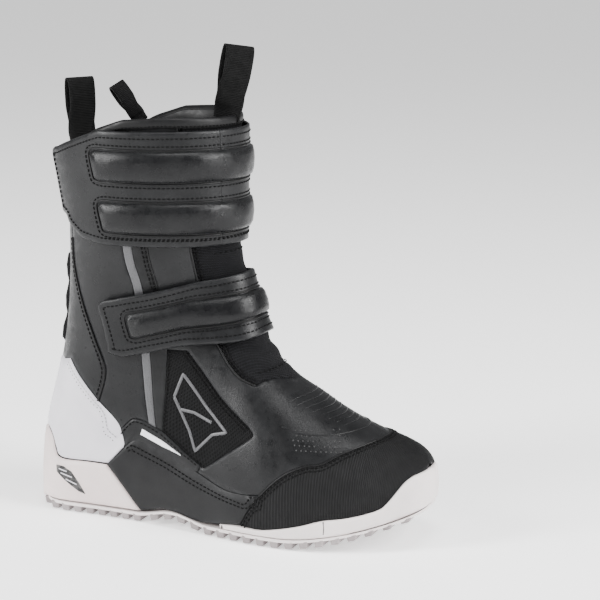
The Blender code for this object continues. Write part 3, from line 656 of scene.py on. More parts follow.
MATS = {
    "leather": leather("leather_smooth", (0.0055, 0.0056, 0.006), (0.0095, 0.0097, 0.0102), 0.33),
    "leather_dark": leather("leather_dark", (0.004, 0.004, 0.0043), (0.0075, 0.0077, 0.008), 0.42),
    "leather_rand": leather("leather_rand", (0.0045, 0.0045, 0.005), (0.008, 0.0082, 0.0086), 0.38, 0.7),
    "padding": leather("leather_padded", (0.004, 0.004, 0.0045), (0.0075, 0.0077, 0.008), 0.29),
    "gusset": woven("stretch_textile", (0.002, 0.002, 0.002), (0.008, 0.008, 0.009), 0.85, 1.3, sheen=0.02),
    "mesh": woven("open_mesh", (0.0015, 0.0015, 0.0015), (0.007, 0.007, 0.0073), 0.75, 1.3, depth=0.0003,
                  sheen=0.02),
    "ripstop": ribbed("toe_textile", (0.002, 0.002, 0.002), (0.0085, 0.0085, 0.009), 0.6, 1.25, "Y",
                      sheen=0.0),
    "webbing": ribbed("webbing", (0.001, 0.001, 0.001), (0.005, 0.005, 0.005), 0.8, 1.15, "Y", 0.0004, 0.0),
    "lining": woven("knit_lining", (0.005, 0.005, 0.005), (0.015, 0.015, 0.016), 0.9, 1.0, 0.0, 0.0002,
                    0.05),
    "band": woven("plain_textile", (0.003, 0.003, 0.003), (0.008, 0.008, 0.0085), 0.7, 0.8, 0.0, 0.0001,
                  0.02),
    "thread": ribbed("black_thread", (0.001, 0.001, 0.001), (0.004, 0.004, 0.004), 0.7, 0.8, "X",
                     0.00005, 0.0),
    "pale_thread": ribbed("pale_thread", (0.30, 0.29, 0.30), (0.46, 0.45, 0.47), 0.6, 0.8, "X", 0.00005),
    "piping": leather("piping", (0.003, 0.003, 0.003), (0.006, 0.006, 0.0064), 0.42, 0.5),
    "reflective": film("reflective_film", (0.035, 0.035, 0.037), (0.085, 0.085, 0.09)),
    "white_film": film("white_film", (0.60, 0.60, 0.62), (0.86, 0.86, 0.88)),
    "cup": moulded("heel_cup_plastic", (0.53, 0.515, 0.55), (0.60, 0.585, 0.62), 0.42,
                   scuff=(0.48, 0.46, 0.49)),
    "counter": moulded("heel_counter_plastic", (0.60, 0.515, 0.50), (0.68, 0.585, 0.565), 0.46),
    "foam": moulded("foxing_foam", (0.60, 0.55, 0.54), (0.69, 0.635, 0.62), 0.55, 0.0002),
    "rubber": moulded("tread_rubber", (0.20, 0.175, 0.175), (0.28, 0.25, 0.25), 0.75, 0.00025,
                      (0.36, 0.32, 0.32)),
    # Near-black: painted shade in the bumper's slits and in the perforation pits, and the heel badge's own
    # dark fill.
    "slit": moulded("slit_and_hole_shade_and_badge_dark", (0.02, 0.02, 0.02), (0.03, 0.03, 0.03), 0.9),
}


# ---------------------------------------------------------------- seams shared by the panels, side view
REAR_SEAM = ((28, 256), (28, 196), (30, 176), (42, 143), (54.5, 113), (55.5, 101), (50.3, 83.8))
CUP_TOP = ((50.3, 83.8), (57.5, 77.5), (64.2, 71.0))
CUP_FRONT = ((64.2, 71.0), (68.5, 62), (70.3, 53.4))
STRIP_LEFT = ((89, 71.3), (86.3, 90), (84, 117), (81, 165), (75, 196), (71, 278))
STRIP_RIGHT = ((94.5, 69.2), (92, 90), (90, 117), (87, 165), (81.5, 196), (77.5, 279))
SEAM_A = ((85, 279.5), (92, 199), (97, 166), (101, 130), (101.8, 124))
WINDOW_LEFT = ((101.8, 124), (101.0, 95), (99.5, 67))
WINDOW_LOW = ((99.5, 67), (110, 60), (122, 52.2), (131, 47.4))
WINDOW_CORNER = ((131, 47.4), (134, 46.8), (150, 58), (166, 69.5), (170.6, 74), (167.5, 78.4))
WINDOW_RIGHT = ((167.5, 78.4), (160, 83.4), (145, 94), (130, 109), (116, 124))
TAB_TOP = ((67.4, 64.6), (72, 69.3), (77, 73.4), (83, 73.2), (89, 71.3), (99.5, 67))
RAND_TOP = ((70.8, 53.4), (76, 57.2), (81, 58.4), (97, 53.2), (112, 47.5), (128, 42.4))
RAND_AHEAD = ((128, 42.4), (149, 34.6), (163, 33.4), (178.4, 34.4))
RAND_TOP_INNER = ((70.8, 53.4), (82, 50.4), (97, 47.0), (112, 44.0), (128, 39.6), (149, 34.6), (178.4, 34.4))
GUSSET_EDGE = ((115, 281), (119, 200), (123, 166), (130, 141), (139, 127), (147, 116.5),
               (156, 109), (167, 104.6))
INNER_SEAM = ((112, 44.0), (121, 74), (128, 104), (121, 138), (112, 170), (106, 200), (100, 280))
TOE_SEAM = ((163.5, 12), (170, 23), (178.4, 34.4), (187, 43.5), (197, 51.6), (210, 57.4), (225, 61.6))
FOXING_TOP = ((147, 9.5), (151, 10.2), (160, 11.2), (179, 10.8), (193, 13.5), (207, 17), (222, 22),
              (237, 24), (250, 27), (259, 30.5), (264, 36.5), (267.6, 42), (271, 47), (275, 50), (281, 51.4))
COUNTER_FRONT = ((81.5, 7.6), (68.5, 24), (56, 38.4))
COUNTER_TOP = ((56, 38.4), (40, 38.8), (18, 38.4), (13, 43), (9, 51), (4, 55), (1, 56))


def front(*zs):
    """Chart rows on the front centre line."""
    zs = np.asarray(zs, float)
    t = bisect(lambda t: rounded(t)[..., 1] > zs, 0.0, LAST, zs.shape)
    return np.stack([t, np.zeros_like(t)], 1)


def flow(*paths):
    """Smooth chart path through the rows of several."""
    return curve(np.vstack(paths) * (ALONG, ACROSS)) / (ALONG, ACROSS)


def collar_run(x0, x1, hand, drop=2.5):
    """Chart path just under the top edge between two x positions."""
    xs = np.linspace(x0, x1, max(2, int(abs(x1 - x0) / 2)))
    return side(np.stack([xs, collar_z(xs) - drop], 1), hand)


def toe_seam():
    """The toe cap's upper seam, from the outer side over the ridge to the inner side."""
    return flow(side(TOE_SEAM[2:]), ridge(251), side(TOE_SEAM[2:], -1)[::-1])


# ---------------------------------------------------------------- body shells
def build_shells():
    """Dark underlay behind the panels, and the padded lining with its ankle pads."""
    angles = np.linspace(0, 360, 73)[:-1]
    phi = np.radians(angles)
    phi = np.where(phi > math.pi, phi - 2 * math.pi, phi)
    tops = ring(np.stack([np.where(angles > 180, angles - 360, angles), collar_at(angles) - 3.0], 1))[:, 0]
    for name, offset, floor, mat in (("underlay", -1.0, 1.5, "piping"), ("lining", -4.8, 10.5, "lining")):
        rows, uv = [], []
        for f in np.linspace(0.02, 1, 110):
            t = tops * f
            chart = np.stack([t, phi], 1)
            points = skin(chart, offset)
            if name == "lining":
                reach = np.hypot(points[:, 0] - PIVOT[0], points[:, 2] - PIVOT[1])
                pad = PAD_DEPTH * np.clip((PAD_RADIUS - reach) / PAD_BORDER, 0, 1)
                points = skin(chart, offset - pad)
            low = tread_top(points[:, 0]) + floor
            points[:, 2] = np.maximum(points[:, 2], low)
            rows.append(points)
            uv.append(np.stack([angles / 360 * 240, t * ALONG], 1))
        piece = grid_piece(name, rows, MATS[mat], "ankle", closed=True, uv=uv)
        if name == "lining":
            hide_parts("heel_lining", "toe_lining", "shaft_lining", "ankle_guard_outer",
                        "ankle_guard_inner")


def build_collar():
    """Rolled and bound top edge."""
    angles = np.linspace(0, 360, 97)[:-1]
    signed = np.where(angles > 180, angles - 360, angles)
    height = collar_at(signed)
    profile = ((0.3, -7.5), (0.8, -6.5), (1.0, -4.6), (1.0, -2.4), (0.6, -0.9), (-0.6, -0.1), (-2.0, -0.2),
               (-3.2, -1.0), (-4.4, -2.4), (-5.2, -4.4), (-5.6, -7.0), (-5.2, -10.5))
    rows = []
    for offset, dz in profile:
        chart = ring(np.stack([signed, height + dz], 1))
        rows.append(skin(chart, offset))
    rows = np.moveaxis(np.array(rows), 0, 1)
    loop = np.vstack([rows, rows[:1]])
    walk = np.linspace(0, 250, len(loop))
    uv = [[(i * 2.0, w) for i in range(len(profile))] for w in walk]
    piece = grid_piece("collar_roll", loop, MATS["piping"], "shaft", uv=uv)
    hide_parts("collar_binding")
    angles = np.linspace(-178, 178, 240)
    sew(ring(np.stack([angles, collar_at(angles) - 5.6], 1)), 1.05, "shaft", pitch=2.8, length=2.0)


# ---------------------------------------------------------------- leather panels
def build_rear():
    """Rear panel round the back, with its folded stretch pad."""
    side_line = lane(REAR_SEAM)
    cup = lane(((50.3, 83.8), (36.9, 97.3), (24.6, 110.0)), smooth=False)
    inner = round_back(lane(REAR_SEAM, -1))[::-1]
    inner_cup = round_back(lane(((24.6, 110.0), (36.9, 97.3), (50.3, 83.8)), -1, smooth=False))
    angles = np.linspace(200, 160, 20)
    top = ring(np.stack([angles, collar_at(angles) - 2.5], 1))
    outline = join(side_line, cup, back(110.4), inner_cup, inner, top)
    piece = patch("rear_panel", outline, MATS["leather"], "ankle", low=-0.8, high=0.0, roll=1.4)
    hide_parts("shaft_back")
    for hand, tag in ((1, "outer"), (-1, "inner")):
        seam = lane(REAR_SEAM[1:], hand)
        piping("rear_piping_" + tag, seam, 0.9, 0.1, MATS["piping"], "ankle")
        sew(beside(seam, -2.6 * hand), 0.12, "ankle")

    def folds(points, chart, gap):
        z = (points[:, 2] - FOLD_LOW) / (FOLD_HIGH - FOLD_LOW)
        return 2.4 * np.abs(np.sin(math.pi * 3 * np.clip(z, 0, 1))) ** 0.7 * np.clip(gap / 3, 0, 1)
    left = ring([(162, z) for z in np.linspace(182, 118, 30)])
    right = round_back(ring([(-162, z) for z in np.linspace(118, 182, 30)]))
    outline = join(left, back(114.5), right, back(185))
    piece = patch("rear_fold_pad", outline, MATS["gusset"], "ankle", low=-0.3, high=0.7, roll=1.5, cell=2.0,
                  relief=folds)
    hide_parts("rear_flex")


def build_quarters():
    """Side hides from the rear seam to the strip outside, and to the inner seam inside."""
    outline = join(lane(REAR_SEAM), lane(CUP_TOP), lane(((64.2, 71.0), (67.4, 64.6)), smooth=False),
                   lane(TAB_TOP[:5]), lane(STRIP_LEFT), collar_run(71, 28, 1))
    piece = patch("quarter_leather_outer", outline, MATS["leather"], "ankle", low=-0.8, roll=1.2)
    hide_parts("shaft_quarter_outer", "quarter_outer")
    outline = join(lane(REAR_SEAM, -1), lane(CUP_TOP, -1), lane(CUP_FRONT, -1), lane(RAND_TOP_INNER[:4], -1),
                   lane(INNER_SEAM, -1), collar_run(100, 28, -1))
    piece = patch("quarter_leather_inner", outline, MATS["leather"], "ankle", low=-0.8, roll=1.2)
    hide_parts("shaft_quarter_inner", "quarter_inner")


def build_strip_and_bands():
    """Reflective strip up the outer side, and the darker band ahead of it."""
    outline = join(lane(STRIP_LEFT), collar_run(71, 77.5, 1), lane(STRIP_RIGHT)[::-1],
                   lane(((94.5, 69.2), (89, 71.3)), smooth=False))
    piece = patch("reflective_strip", outline, MATS["reflective"], "ankle", low=-0.6, high=0.1,
                  roll=0.7, cell=2)
    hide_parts("reflective_strip_low", "reflective_strip_high")
    edge = list(SEAM_A) + list(WINDOW_LEFT[1:])
    outline = join(lane(STRIP_RIGHT), collar_run(77.5, 85, 1), lane(edge),
                   lane(((99.5, 67), (94.5, 69.2)), smooth=False))
    piece = patch("side_band", outline, MATS["leather_dark"], "ankle", low=-0.9, high=-0.3,
                  roll=0.8, cell=2.5)
    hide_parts("shaft_band_outer", "side_flex_outer")


def build_window():
    """Open mesh window in its stitched frame, with a plain outlined mark."""
    outline = join(lane(WINDOW_LEFT), lane(WINDOW_LOW), lane(WINDOW_CORNER), lane(WINDOW_RIGHT),
                   lane(((116, 124), (101.8, 124)), smooth=False))
    piece = patch("window_mesh", outline, MATS["mesh"], "ankle", low=-0.9, high=-0.7, roll=0.8, cell=2.2)
    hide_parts("mesh_window")
    mark = ((108, 92), (114, 108), (133, 88), (150, 73), (139, 70), (126, 57), (121, 70), (108, 92))
    bar = ((113, 84), (124, 83), (138, 78))
    for k, points in enumerate((mark, bar)):
        path = lane(points, smooth=False)
        normal = slopes(path[:, 0], path[:, 1])[2]
        line = body(path[:, 0], path[:, 1]) - normal * 0.55
        ring_rows = tube_rows(line, normal, 1.15, 8, 0.3)
        piece = grid_piece("window_mark_%d" % (k + 1), ring_rows, MATS["reflective"], "ankle", closed=True,
                           cap=True)
        if k == 0:
            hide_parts("side_emblem")


def build_vamp():
    """One hide from the shaft's front edges down over the foot."""
    outline = join(
        lane(SEAM_A), lane(((101.8, 124), (116, 124)), smooth=False), lane(WINDOW_RIGHT[::-1]),
        lane(WINDOW_CORNER[::-1]), lane(((131, 47.4), (128, 42.4)), smooth=False), lane(RAND_AHEAD),
        toe_seam(), lane(RAND_TOP_INNER[3:], -1)[::-1], lane(INNER_SEAM, -1), collar_run(100, 115, -1),
        lane(GUSSET_EDGE, -1), front(104.6), lane(GUSSET_EDGE)[::-1], collar_run(115, 85, 1))

    def creases(points, chart, gap):
        x, y, z = points.T
        run = np.sin(0.30 * x + 0.11 * z + 2.2 * np.sin(0.05 * y)) * np.exp(-((x - 205) / 34) ** 2)
        return 0.16 * run * np.clip(gap / 8, 0, 1) + 0.35 * np.clip(gap / 14, 0, 1)
    piece = patch("vamp_leather", outline, MATS["leather"], "ankle", low=-0.8, high=0.0, roll=1.2, cell=2.6,
                  relief=creases)
    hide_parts("vamp", "instep_facing", "shaft_facing_outer", "shaft_facing_inner", "side_flex_inner")


def build_gusset():
    """Stretch front with soft folds, behind the straps."""
    outer, inner = lane(GUSSET_EDGE), lane(GUSSET_EDGE, -1)
    angle = np.linspace(-52, 52, 30)
    top = ring(np.stack([angle, collar_at(angle) - 2.0], 1))
    outline = join(outer, front(104.6), inner[::-1], top)

    def folds(points, chart, gap):
        z = points[:, 2]
        wave = np.sin(2 * math.pi * (z - 104) / 13.5) * np.clip((190 - z) / 40, 0.25, 1)
        return 0.85 * wave * np.clip(gap / 7, 0, 1) + 0.5 * np.clip(gap / 9, 0, 1)
    piece = patch("front_stretch", outline, MATS["gusset"], "ankle", low=-1.2, high=-0.4, roll=1.5, cell=2.2,
                  relief=folds)
    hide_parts("front_gusset", "front_flex")
    for z in (112, 121, 190):
        row = [(a, z + 1.5 * math.cos(math.radians(3 * a))) for a in np.linspace(-30, 30, 24)]
        sew(ring(row), 0.3, "ankle", pitch=4.2, length=2.8)


def build_rands():
    """Smooth rand along the sole, and the stitched tab over it on the outer side."""
    lower = ((163.5, 12), (146.5, 9.6), (130, 8.0), (113, 11.0), (101, 12.0), (92, 10.0), (81.5, 7.6))
    outline = join(lane(COUNTER_FRONT), lane(((56, 38.4), (70.8, 53.4)), smooth=False), lane(RAND_TOP),
                   lane(RAND_AHEAD), lane(TOE_SEAM[:3])[::-1], lane(lower))
    piece = patch("rand_leather_outer", outline, MATS["leather_rand"], "foot", low=-0.3, high=0.9, roll=1.2)
    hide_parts("rand_outer")
    outline = join(lane(COUNTER_FRONT, -1), lane(((56, 38.4), (70.8, 53.4)), -1, smooth=False),
                   lane(RAND_TOP_INNER, -1), lane(TOE_SEAM[:3], -1)[::-1], lane(lower, -1))
    piece = patch("rand_leather_inner", outline, MATS["leather_rand"], "foot", low=-0.3, high=0.9, roll=1.2)
    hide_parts("rand_inner")
    outline = join(lane(((70.8, 53.4), (67.4, 64.6)), smooth=False), lane(TAB_TOP), lane(WINDOW_LOW),
                   lane(((131, 47.4), (128, 42.4)), smooth=False), lane(RAND_TOP)[::-1])
    piece = patch("tab_leather", outline, MATS["leather_rand"], "foot", low=-0.3, high=0.6, roll=1.0,
                  cell=2.2)
    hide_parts("heel_tab")
    wedge = join(lane(((83, 63.2), (84.6, 67.4), (101, 60.6), (118.5, 51.4)), smooth=False),
                 lane(((118.5, 51.4), (100, 56.8), (83, 63.2)), smooth=False))
    piece = patch("white_wedge", wedge, MATS["white_film"], "foot", low=0.5, high=1.1, roll=0.5, cell=1.6)
    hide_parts("side_wedge")


def build_toe_cap():
    seam = toe_seam()
    low = lane(TOE_SEAM[:3])
    low_inner = lane(TOE_SEAM[:3], -1)[::-1]
    bottom = [p for p in FOXING_TOP if 162 < p[0] < 279]
    bottom = curve([(163.5, 11.6)] + bottom + [(279.4, 51.2)])
    outline = join(low, seam, low_inner, side(bottom, -1), ridge(280.7), side(bottom[::-1]))

    def puff(points, chart, gap):
        return 0.5 * np.clip(gap / 12, 0, 1)
    piece = patch("toe_cap_textile", outline, MATS["ripstop"], "foot", low=-0.4, high=0.5, roll=1.2,
                  cell=2.4, relief=puff)
    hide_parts("toe_cap")


# ---------------------------------------------------------------- moulded heel and sole
def build_heel():
    """Moulded counter and cup round the heel, with the inlaid badge."""
    top = lane(COUNTER_TOP)
    front_edge = lane(COUNTER_FRONT)
    bottom = curve(((4, 7.6), (18, 7.2), (50, 7.2), (81.5, 7.6)), smooth=False)
    outline = join(front_edge, top, back(56.8), round_back(lane(COUNTER_TOP, -1))[::-1],
                   round_back(lane(COUNTER_FRONT, -1))[::-1], round_back(side(bottom[::-1], -1)), back(7.8),
                   side(bottom))

    def facets(points, chart, gap):
        x, y, z = points.T
        ramp = np.clip((x - 44 - 0.35 * (z - 8)) / 5, 0, 1)
        return 0.5 * ramp * np.clip(gap / 5, 0, 1)
    piece = patch("heel_counter_shell", outline, MATS["counter"], "foot", low=-0.2, high=1.5, roll=1.8,
                  relief=facets)
    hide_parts("heel_counter")
    cup_low = ((57.2, 39.6), (40, 39.6), (18.6, 39.4), (14, 44.5), (9.8, 52), (4.6, 56.4), (1, 57.2))
    cup_rise = ((70.3, 53.4), (68.5, 62), (64.2, 71.0), (50.3, 83.8), (36.9, 97.1), (24.6, 109.6))
    outline = join(lane(((57.2, 39.6), (70.3, 53.4)), smooth=False), lane(cup_rise), back(109.8),
                   round_back(lane(cup_rise, -1))[::-1],
                   round_back(lane(((57.2, 39.6), (70.3, 53.4)), -1, smooth=False))[::-1],
                   round_back(lane(cup_low, -1)), back(58), lane(cup_low)[::-1])
    piece = patch("heel_cup_shell", outline, MATS["cup"], "foot", low=-0.3, high=0.9, roll=1.3)
    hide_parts("heel_cup")
    for hand in (1, -1):
        edge = lane(cup_rise[1:], hand)
        sew(beside(edge, 2.2 * hand), 0.95, "foot", pitch=2.6, length=1.8, radius=0.3, thread="pale_thread")
        dots("cup", beside(edge, 4.6 * hand)[::2], 0.95, 0.45, "foot")
    badge = ((15.5, 33.5), (22, 33.4), (28.5, 30.5), (34.5, 22.5), (38.8, 14.8), (33, 16.4), (23.5, 22.5),
             (16, 28), (15.5, 33.5))
    outline = join(lane(badge, smooth=False))
    piece = patch("heel_badge_inlay", outline, MATS["slit"], "foot", low=1.2, high=2.2, roll=0.8, cell=1.6)
    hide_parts("heel_badge")
    lines = (((18.5, 31), (25, 30)), ((20, 28.2), (29, 26.4)), ((24, 24.4), (32.5, 21.6)))
    for k, ends in enumerate(lines):
        piping("badge_line_%d" % (k + 1), lane(ends, smooth=False), 0.42, 2.2, MATS["cup"], "foot", sides=6)


def build_foxing():
    """White sidewall round the forefoot, rising to a bumper at the toe."""
    xs = np.concatenate([np.linspace(147, 255, 55), np.linspace(256, 281, 42)])
    tops = table(xs, FOXING_TOP)
    kernel = np.ones(5) / 5
    tops[2:-2] = np.convolve(tops, kernel, "valid")
    lows = tread_top(xs) + np.where(xs < 240, 0.5, 0.9)
    profile = ((0.0, -1.5), (0.0, 0.6), (0.05, 1.3), (0.14, 1.7), (0.3, 1.8), (0.5, 1.7), (0.7, 1.8),
               (0.86, 1.8), (0.94, 1.5), (0.985, 0.9), (1.0, 0.2), (1.0, -1.2))

    def column(x, low, high, hand):
        zs = np.array([low + (high - low) * f for f, _ in profile])
        chart = side(np.stack([np.full_like(zs, x), zs], 1), hand)
        fade = min(1.0, (x - 146.0) / 6)
        return skin(chart, [o if o < 0 else o * fade for _, o in profile])
    outer, inner = ([column(x, a, b, hand) for x, a, b in zip(xs, lows, tops)] for hand in (1, -1))
    inner.reverse()
    tip = [outer[-1] * (1 - f) + inner[0] * f + np.array((0.9 * math.sin(math.pi * f), 0, 0))
           for f in (0.25, 0.5, 0.75)]
    rows = outer + tip + inner
    piece = grid_piece("foxing_sidewall", rows, MATS["foam"], "foot")
    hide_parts("forefoot_foxing")
    # The bumper's two slits are thin near-black cords laid on the white foam: painted shade standing for the
    # shade inside the cuts.
    for k, (x, low, high) in enumerate(((149.2, 7.4, 9.6), (223.5, 13.2, 21.8))):
        path = lane(((x, low), (x + 0.4, (low + high) / 2), (x, high)))
        piping("sole_slit_%d" % (k + 1), path, 0.42, 1.55, MATS["slit"], "foot", sides=6)


def sole_edge(x, hand):
    """y of the outsole's edge at x."""
    look = min(max(x, 16), 262)
    y = body(*side([(look, float(tread_top(look)) + 4)], hand).T)[0, 1] - 1.5 * hand
    edge = 1.0
    if x < 20:
        edge = math.sqrt(max(0.06, 1 - ((x - 20) / 25.5) ** 2))
    if x > 258:
        edge = math.sqrt(max(0.05, 1 - ((x - 258) / 24) ** 2))
    return y * edge


def build_outsole():
    """Thin web with separate lugs: side lugs that read as teeth, and chevrons between them."""
    xs = np.concatenate([np.linspace(-4, 16, 14), np.linspace(20, 256, 60), np.linspace(258, 281, 14)])
    rows = []
    for x in xs:
        out, inn = sole_edge(x, 1), sole_edge(x, -1)
        top = float(tread_top(x))
        web = max(1.8, top - float(ground(x)) - 4.2)
        ys = ((out, top), (out, top - web + 0.3), (out + 0.6, top - web), (inn - 0.6, top - web),
              (inn, top - web + 0.3), (inn, top))
        rows.append([(x, y, z) for y, z in ys])
    web = grid_piece("outsole_web", rows, MATS["foam"], "foot", closed=True, cap=True)
    web.data.polygons.foreach_set("use_smooth", [False] * len(web.data.polygons))
    starts = [(-1 + 9.6 * k, 6.6) for k in range(9)]
    starts += [(x, 7.0) for x in (90, 101, 112, 123)] + [(134 + 10.4 * k, 6.6) for k in range(14)]
    bm = bmesh.new()
    for row, (x, width) in enumerate(starts):
        for y_low, y_high, slant in lug_spans(x + width / 2):
            lug(bm, x, width, y_low, y_high, slant)
    bmesh.ops.recalc_face_normals(bm, faces=bm.faces)
    for v in bm.verts:
        v.co = Vector(place(v.co))
    mesh = bpy.data.meshes.new("outsole_lugs")
    bm.to_mesh(mesh)
    bm.free()
    mesh.materials.append(MATS["rubber"])
    lugs = bpy.data.objects.new("outsole_lugs", mesh)
    bpy.context.scene.collection.objects.link(lugs)
    bevel = lugs.modifiers.new("edges", "BEVEL")
    bevel.width = 0.0006
    bevel.segments = 2
    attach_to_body(lugs, "foot")
    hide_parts("outsole")


def lug_spans(x):
    """Crosswise runs of one row of lugs: outer side, two halves of a chevron, inner side."""
    out, inn = sole_edge(x, 1), sole_edge(x, -1)
    width = inn - out
    if width < 26:
        return [(out, inn, 0.0)]
    side_run = 0.24 * width
    middle = (out + inn) / 2
    return [(out, out + side_run, 0.0), (out + side_run + 3, middle - 0.9, 2.6),
            (middle + 0.9, inn - side_run - 3, -2.6), (inn - side_run, inn, 0.0)]


def lug(bm, x, width, y_low, y_high, slant):
    """Tapered block whose middle end is shifted forward by slant."""
    shift = (0.0, abs(slant)) if slant > 0 else (abs(slant), 0.0)
    verts = []
    for inset, up in ((0.7, False), (0.0, True)):
        for y, move in ((y_low + inset, shift[0]), (y_high - inset, shift[1])):
            for dx in (inset, width - inset):
                px = x + dx + move
                z = float(tread_top(px)) - 1.0 if up else float(ground(px))
                verts.append(bm.verts.new((px, y, z)))
    a, b, c, d, e, f, g, h = verts
    for face in ((a, b, d, c), (e, g, h, f), (a, e, f, b), (c, d, h, g), (a, c, g, e), (b, f, h, d)):
        bm.faces.new(face)


# ---------------------------------------------------------------- small details
DOTS = {}


def dots(name, path, lift, radius, on):
    """Punched holes, gathered into one piece for each group."""
    DOTS.setdefault((name, on), []).append((skin(path, lift), slopes(path[:, 0], path[:, 1])[2], radius))


def build_dots():
    """One mesh of shallow pits for each group and body, coloured near black: painted shade inside the holes.
    """
    for (name, on), groups in sorted(DOTS.items()):
        points, faces = [], []
        for centres, normals, radius in groups:
            for p, n in zip(centres, normals):
                u = unit(np.cross(n, (0.31, 0.2, 0.93)))
                v = np.cross(n, u)
                base = len(points)
                points += [p + (u * math.cos(a) + v * math.sin(a)) * radius
                           for a in np.arange(8) * math.pi / 4]
                points += [p - n * 0.5 + (u * math.cos(a) + v * math.sin(a)) * radius * 0.7
                           for a in np.arange(8) * math.pi / 4]
                faces.append([base + k for k in range(8)])
                faces.append([base + 8 + k for k in range(7, -1, -1)])
                faces += [[base + k, base + 8 + k, base + 8 + (k + 1) % 8, base + (k + 1) % 8]
                          for k in range(8)]
        make("perforation_" + name, np.array(points), faces, MATS["slit"], on, smooth=False)


def build_vamp_details():
    """Perforations, and the raised ribs of the instep with the line round them."""
    for hand in (1, -1):
        for row in range(5):
            z = 67 + 2.9 * row
            xs = np.arange(199 + 1.5 * (row % 2), 233 - 1.7 * row, 3.1)
            dots("vamp", side([(x, z - 0.05 * (x - 199)) for x in xs], hand), 0.36, 0.55, "ankle")
    for row in range(7):
        xs = np.arange(133 + 1.6 * (row % 2), 152 - 0.8 * row, 3.2)
        dots("instep", side([(x - 0.9 * row, 66 + 3.1 * row) for x in xs], -1), 0.37, 0.6, "ankle")
    for k in range(8):
        x = 197 + 4.4 * k
        reach = 0.50 - 0.035 * k
        line = np.stack([np.full(16, ridge(x)[0, 0]), np.linspace(-reach, reach, 16)], 1)
        line[:, 0] += 0.405 * (np.abs(line[:, 1]) / 0.5) ** 1.6
        piping("instep_rib_%d" % (k + 1), line, 0.85 * np.sin(np.linspace(0.25, math.pi - 0.25, 16)), 0.2,
               MATS["leather"], "ankle")
    half = ((190, 0.78), (205, 0.72), (220, 0.55), (232, 0.28), (236, 0.0))
    border = half + tuple((x, -phi) for x, phi in half[-2::-1])
    line = flow(np.array([(ridge(x)[0, 0], phi) for x, phi in border]))
    piping("instep_border", line, 0.7, 0.15, MATS["leather"], "ankle")


def sew_panels():
    """Seam stitching on the panels; double rows where two hides lap."""
    for shift in (-1.5, -3.7):
        sew(beside(lane(SEAM_A), shift), 0.1, "ankle")
        sew(beside(lane(GUSSET_EDGE), -shift), 0.25, "ankle")
        sew(beside(lane(GUSSET_EDGE, -1), shift), 0.25, "ankle")
    for shift in (1.6, 3.8):
        sew(beside(lane(INNER_SEAM, -1), shift), 0.2, "ankle")
        sew(beside(lane(WINDOW_RIGHT[::-1]), -shift), 0.25, "ankle")
        sew(beside(np.vstack([lane(RAND_TOP), lane(RAND_AHEAD)[1:]]), -shift), 0.95, "foot")
        sew(beside(lane(RAND_TOP_INNER, -1), shift), 0.95, "foot")
        sew(beside(toe_seam(), -shift), 0.75, "foot")
        sew(beside(lane(TOE_SEAM[:3]), -shift), 0.7, "foot")
        sew(beside(lane(TOE_SEAM[:3], -1), shift), 0.7, "foot")
    sew(beside(lane(TAB_TOP), -1.8), 0.7, "foot")
    sew(beside(lane(WINDOW_LOW), -1.8), 0.7, "foot")
    sew(beside(lane(WINDOW_LOW), 1.6), -0.6, "ankle")
    sew(beside(lane(WINDOW_LEFT), 1.4), -0.6, "ankle")
    piping("gusset_piping_outer", lane(GUSSET_EDGE), 0.8, -0.1, MATS["piping"], "ankle")
    piping("gusset_piping_inner", lane(GUSSET_EDGE, -1), 0.8, -0.1, MATS["piping"], "ankle")
    piping("seam_piping_outer", lane(SEAM_A), 0.7, -0.2, MATS["piping"], "ankle")
    piping("toe_piping", toe_seam(), 0.8, 0.2, MATS["piping"], "foot")


# ---------------------------------------------------------------- straps
def upper_low(a):
    """Height of the upper strap's lower edge at an angle."""
    return table(a, ((-100, 197), (104, 197), (122, 200), (136, 208), (148, 222), (158, 236)))


def upper_high(a):
    """Height of the upper strap's upper edge at an angle."""
    return table(a, ((-95, 276), (105, 275), (130, 266), (150, 259), (158, 254)))


def lower_low(a):
    """Height of the lower strap's lower edge at an angle."""
    return table(np.abs(a), ((5, 134), (53, 128), (80, 119), (95, 116), (103, 121), (106, 126)))


def lower_high(a):
    """Height of the lower strap's upper edge at an angle."""
    return table(np.abs(a), ((5, 176), (45, 172), (95, 160), (103, 156), (106, 151)))


def edge_run(height, start, end):
    """Points along a strap edge between two angles."""
    angles = np.linspace(start, end, max(2, int(abs(end - start) / 3)))
    return [(a, float(height(a))) for a in angles]


def flare(chart):
    """How far the upper strap's free end stands off the shaft."""
    height = body(chart[:, 0], chart[:, 1])[:, 2]
    return 6.0 * np.clip((chart[:, 1] - 2.05) / 0.7, 0, 1) ** 1.5 * np.clip((height - 212) / 40, 0, 1)


def rounded_end(angle, low, high, turn, corner=4.5, lean=0.0):
    """Strap or rib end at an angle, from its top edge round to its bottom edge lean degrees further on."""
    d = turn * corner * 1.25
    foot = angle + lean
    z1, z0 = float(high(angle - d)), float(low(foot - d))
    return [(angle - d, z1), (angle - d * 0.25, z1 - corner * 0.25), (angle, z1 - corner),
            (foot, z0 + corner), (foot - d * 0.25, z0 + corner * 0.25), (foot - d, z0)]


MEET = 26.0          # angle at which the upper strap's two pieces meet
UPPER_RANGE = (-95.0, 158.0)
STRAP_SHAPE = {"low": STRAP_TOP - 1.1, "high": STRAP_TOP, "roll": 1.3, "thick": STRAP_THICK - 0.2}


def strap_path(low, high, start, end, corner, lean):
    """Open chart paths: top edge from start round the end to the bottom edge, and the same at the start."""
    far = rounded_end(end, low, high, 1, corner, lean)
    near = rounded_end(start, low, high, -1, corner)
    top = edge_run(high, near[0][0], far[0][0])
    bottom = edge_run(low, far[-1][0], near[-1][0])
    return top[1:-1], far, bottom[1:-1], near[::-1]


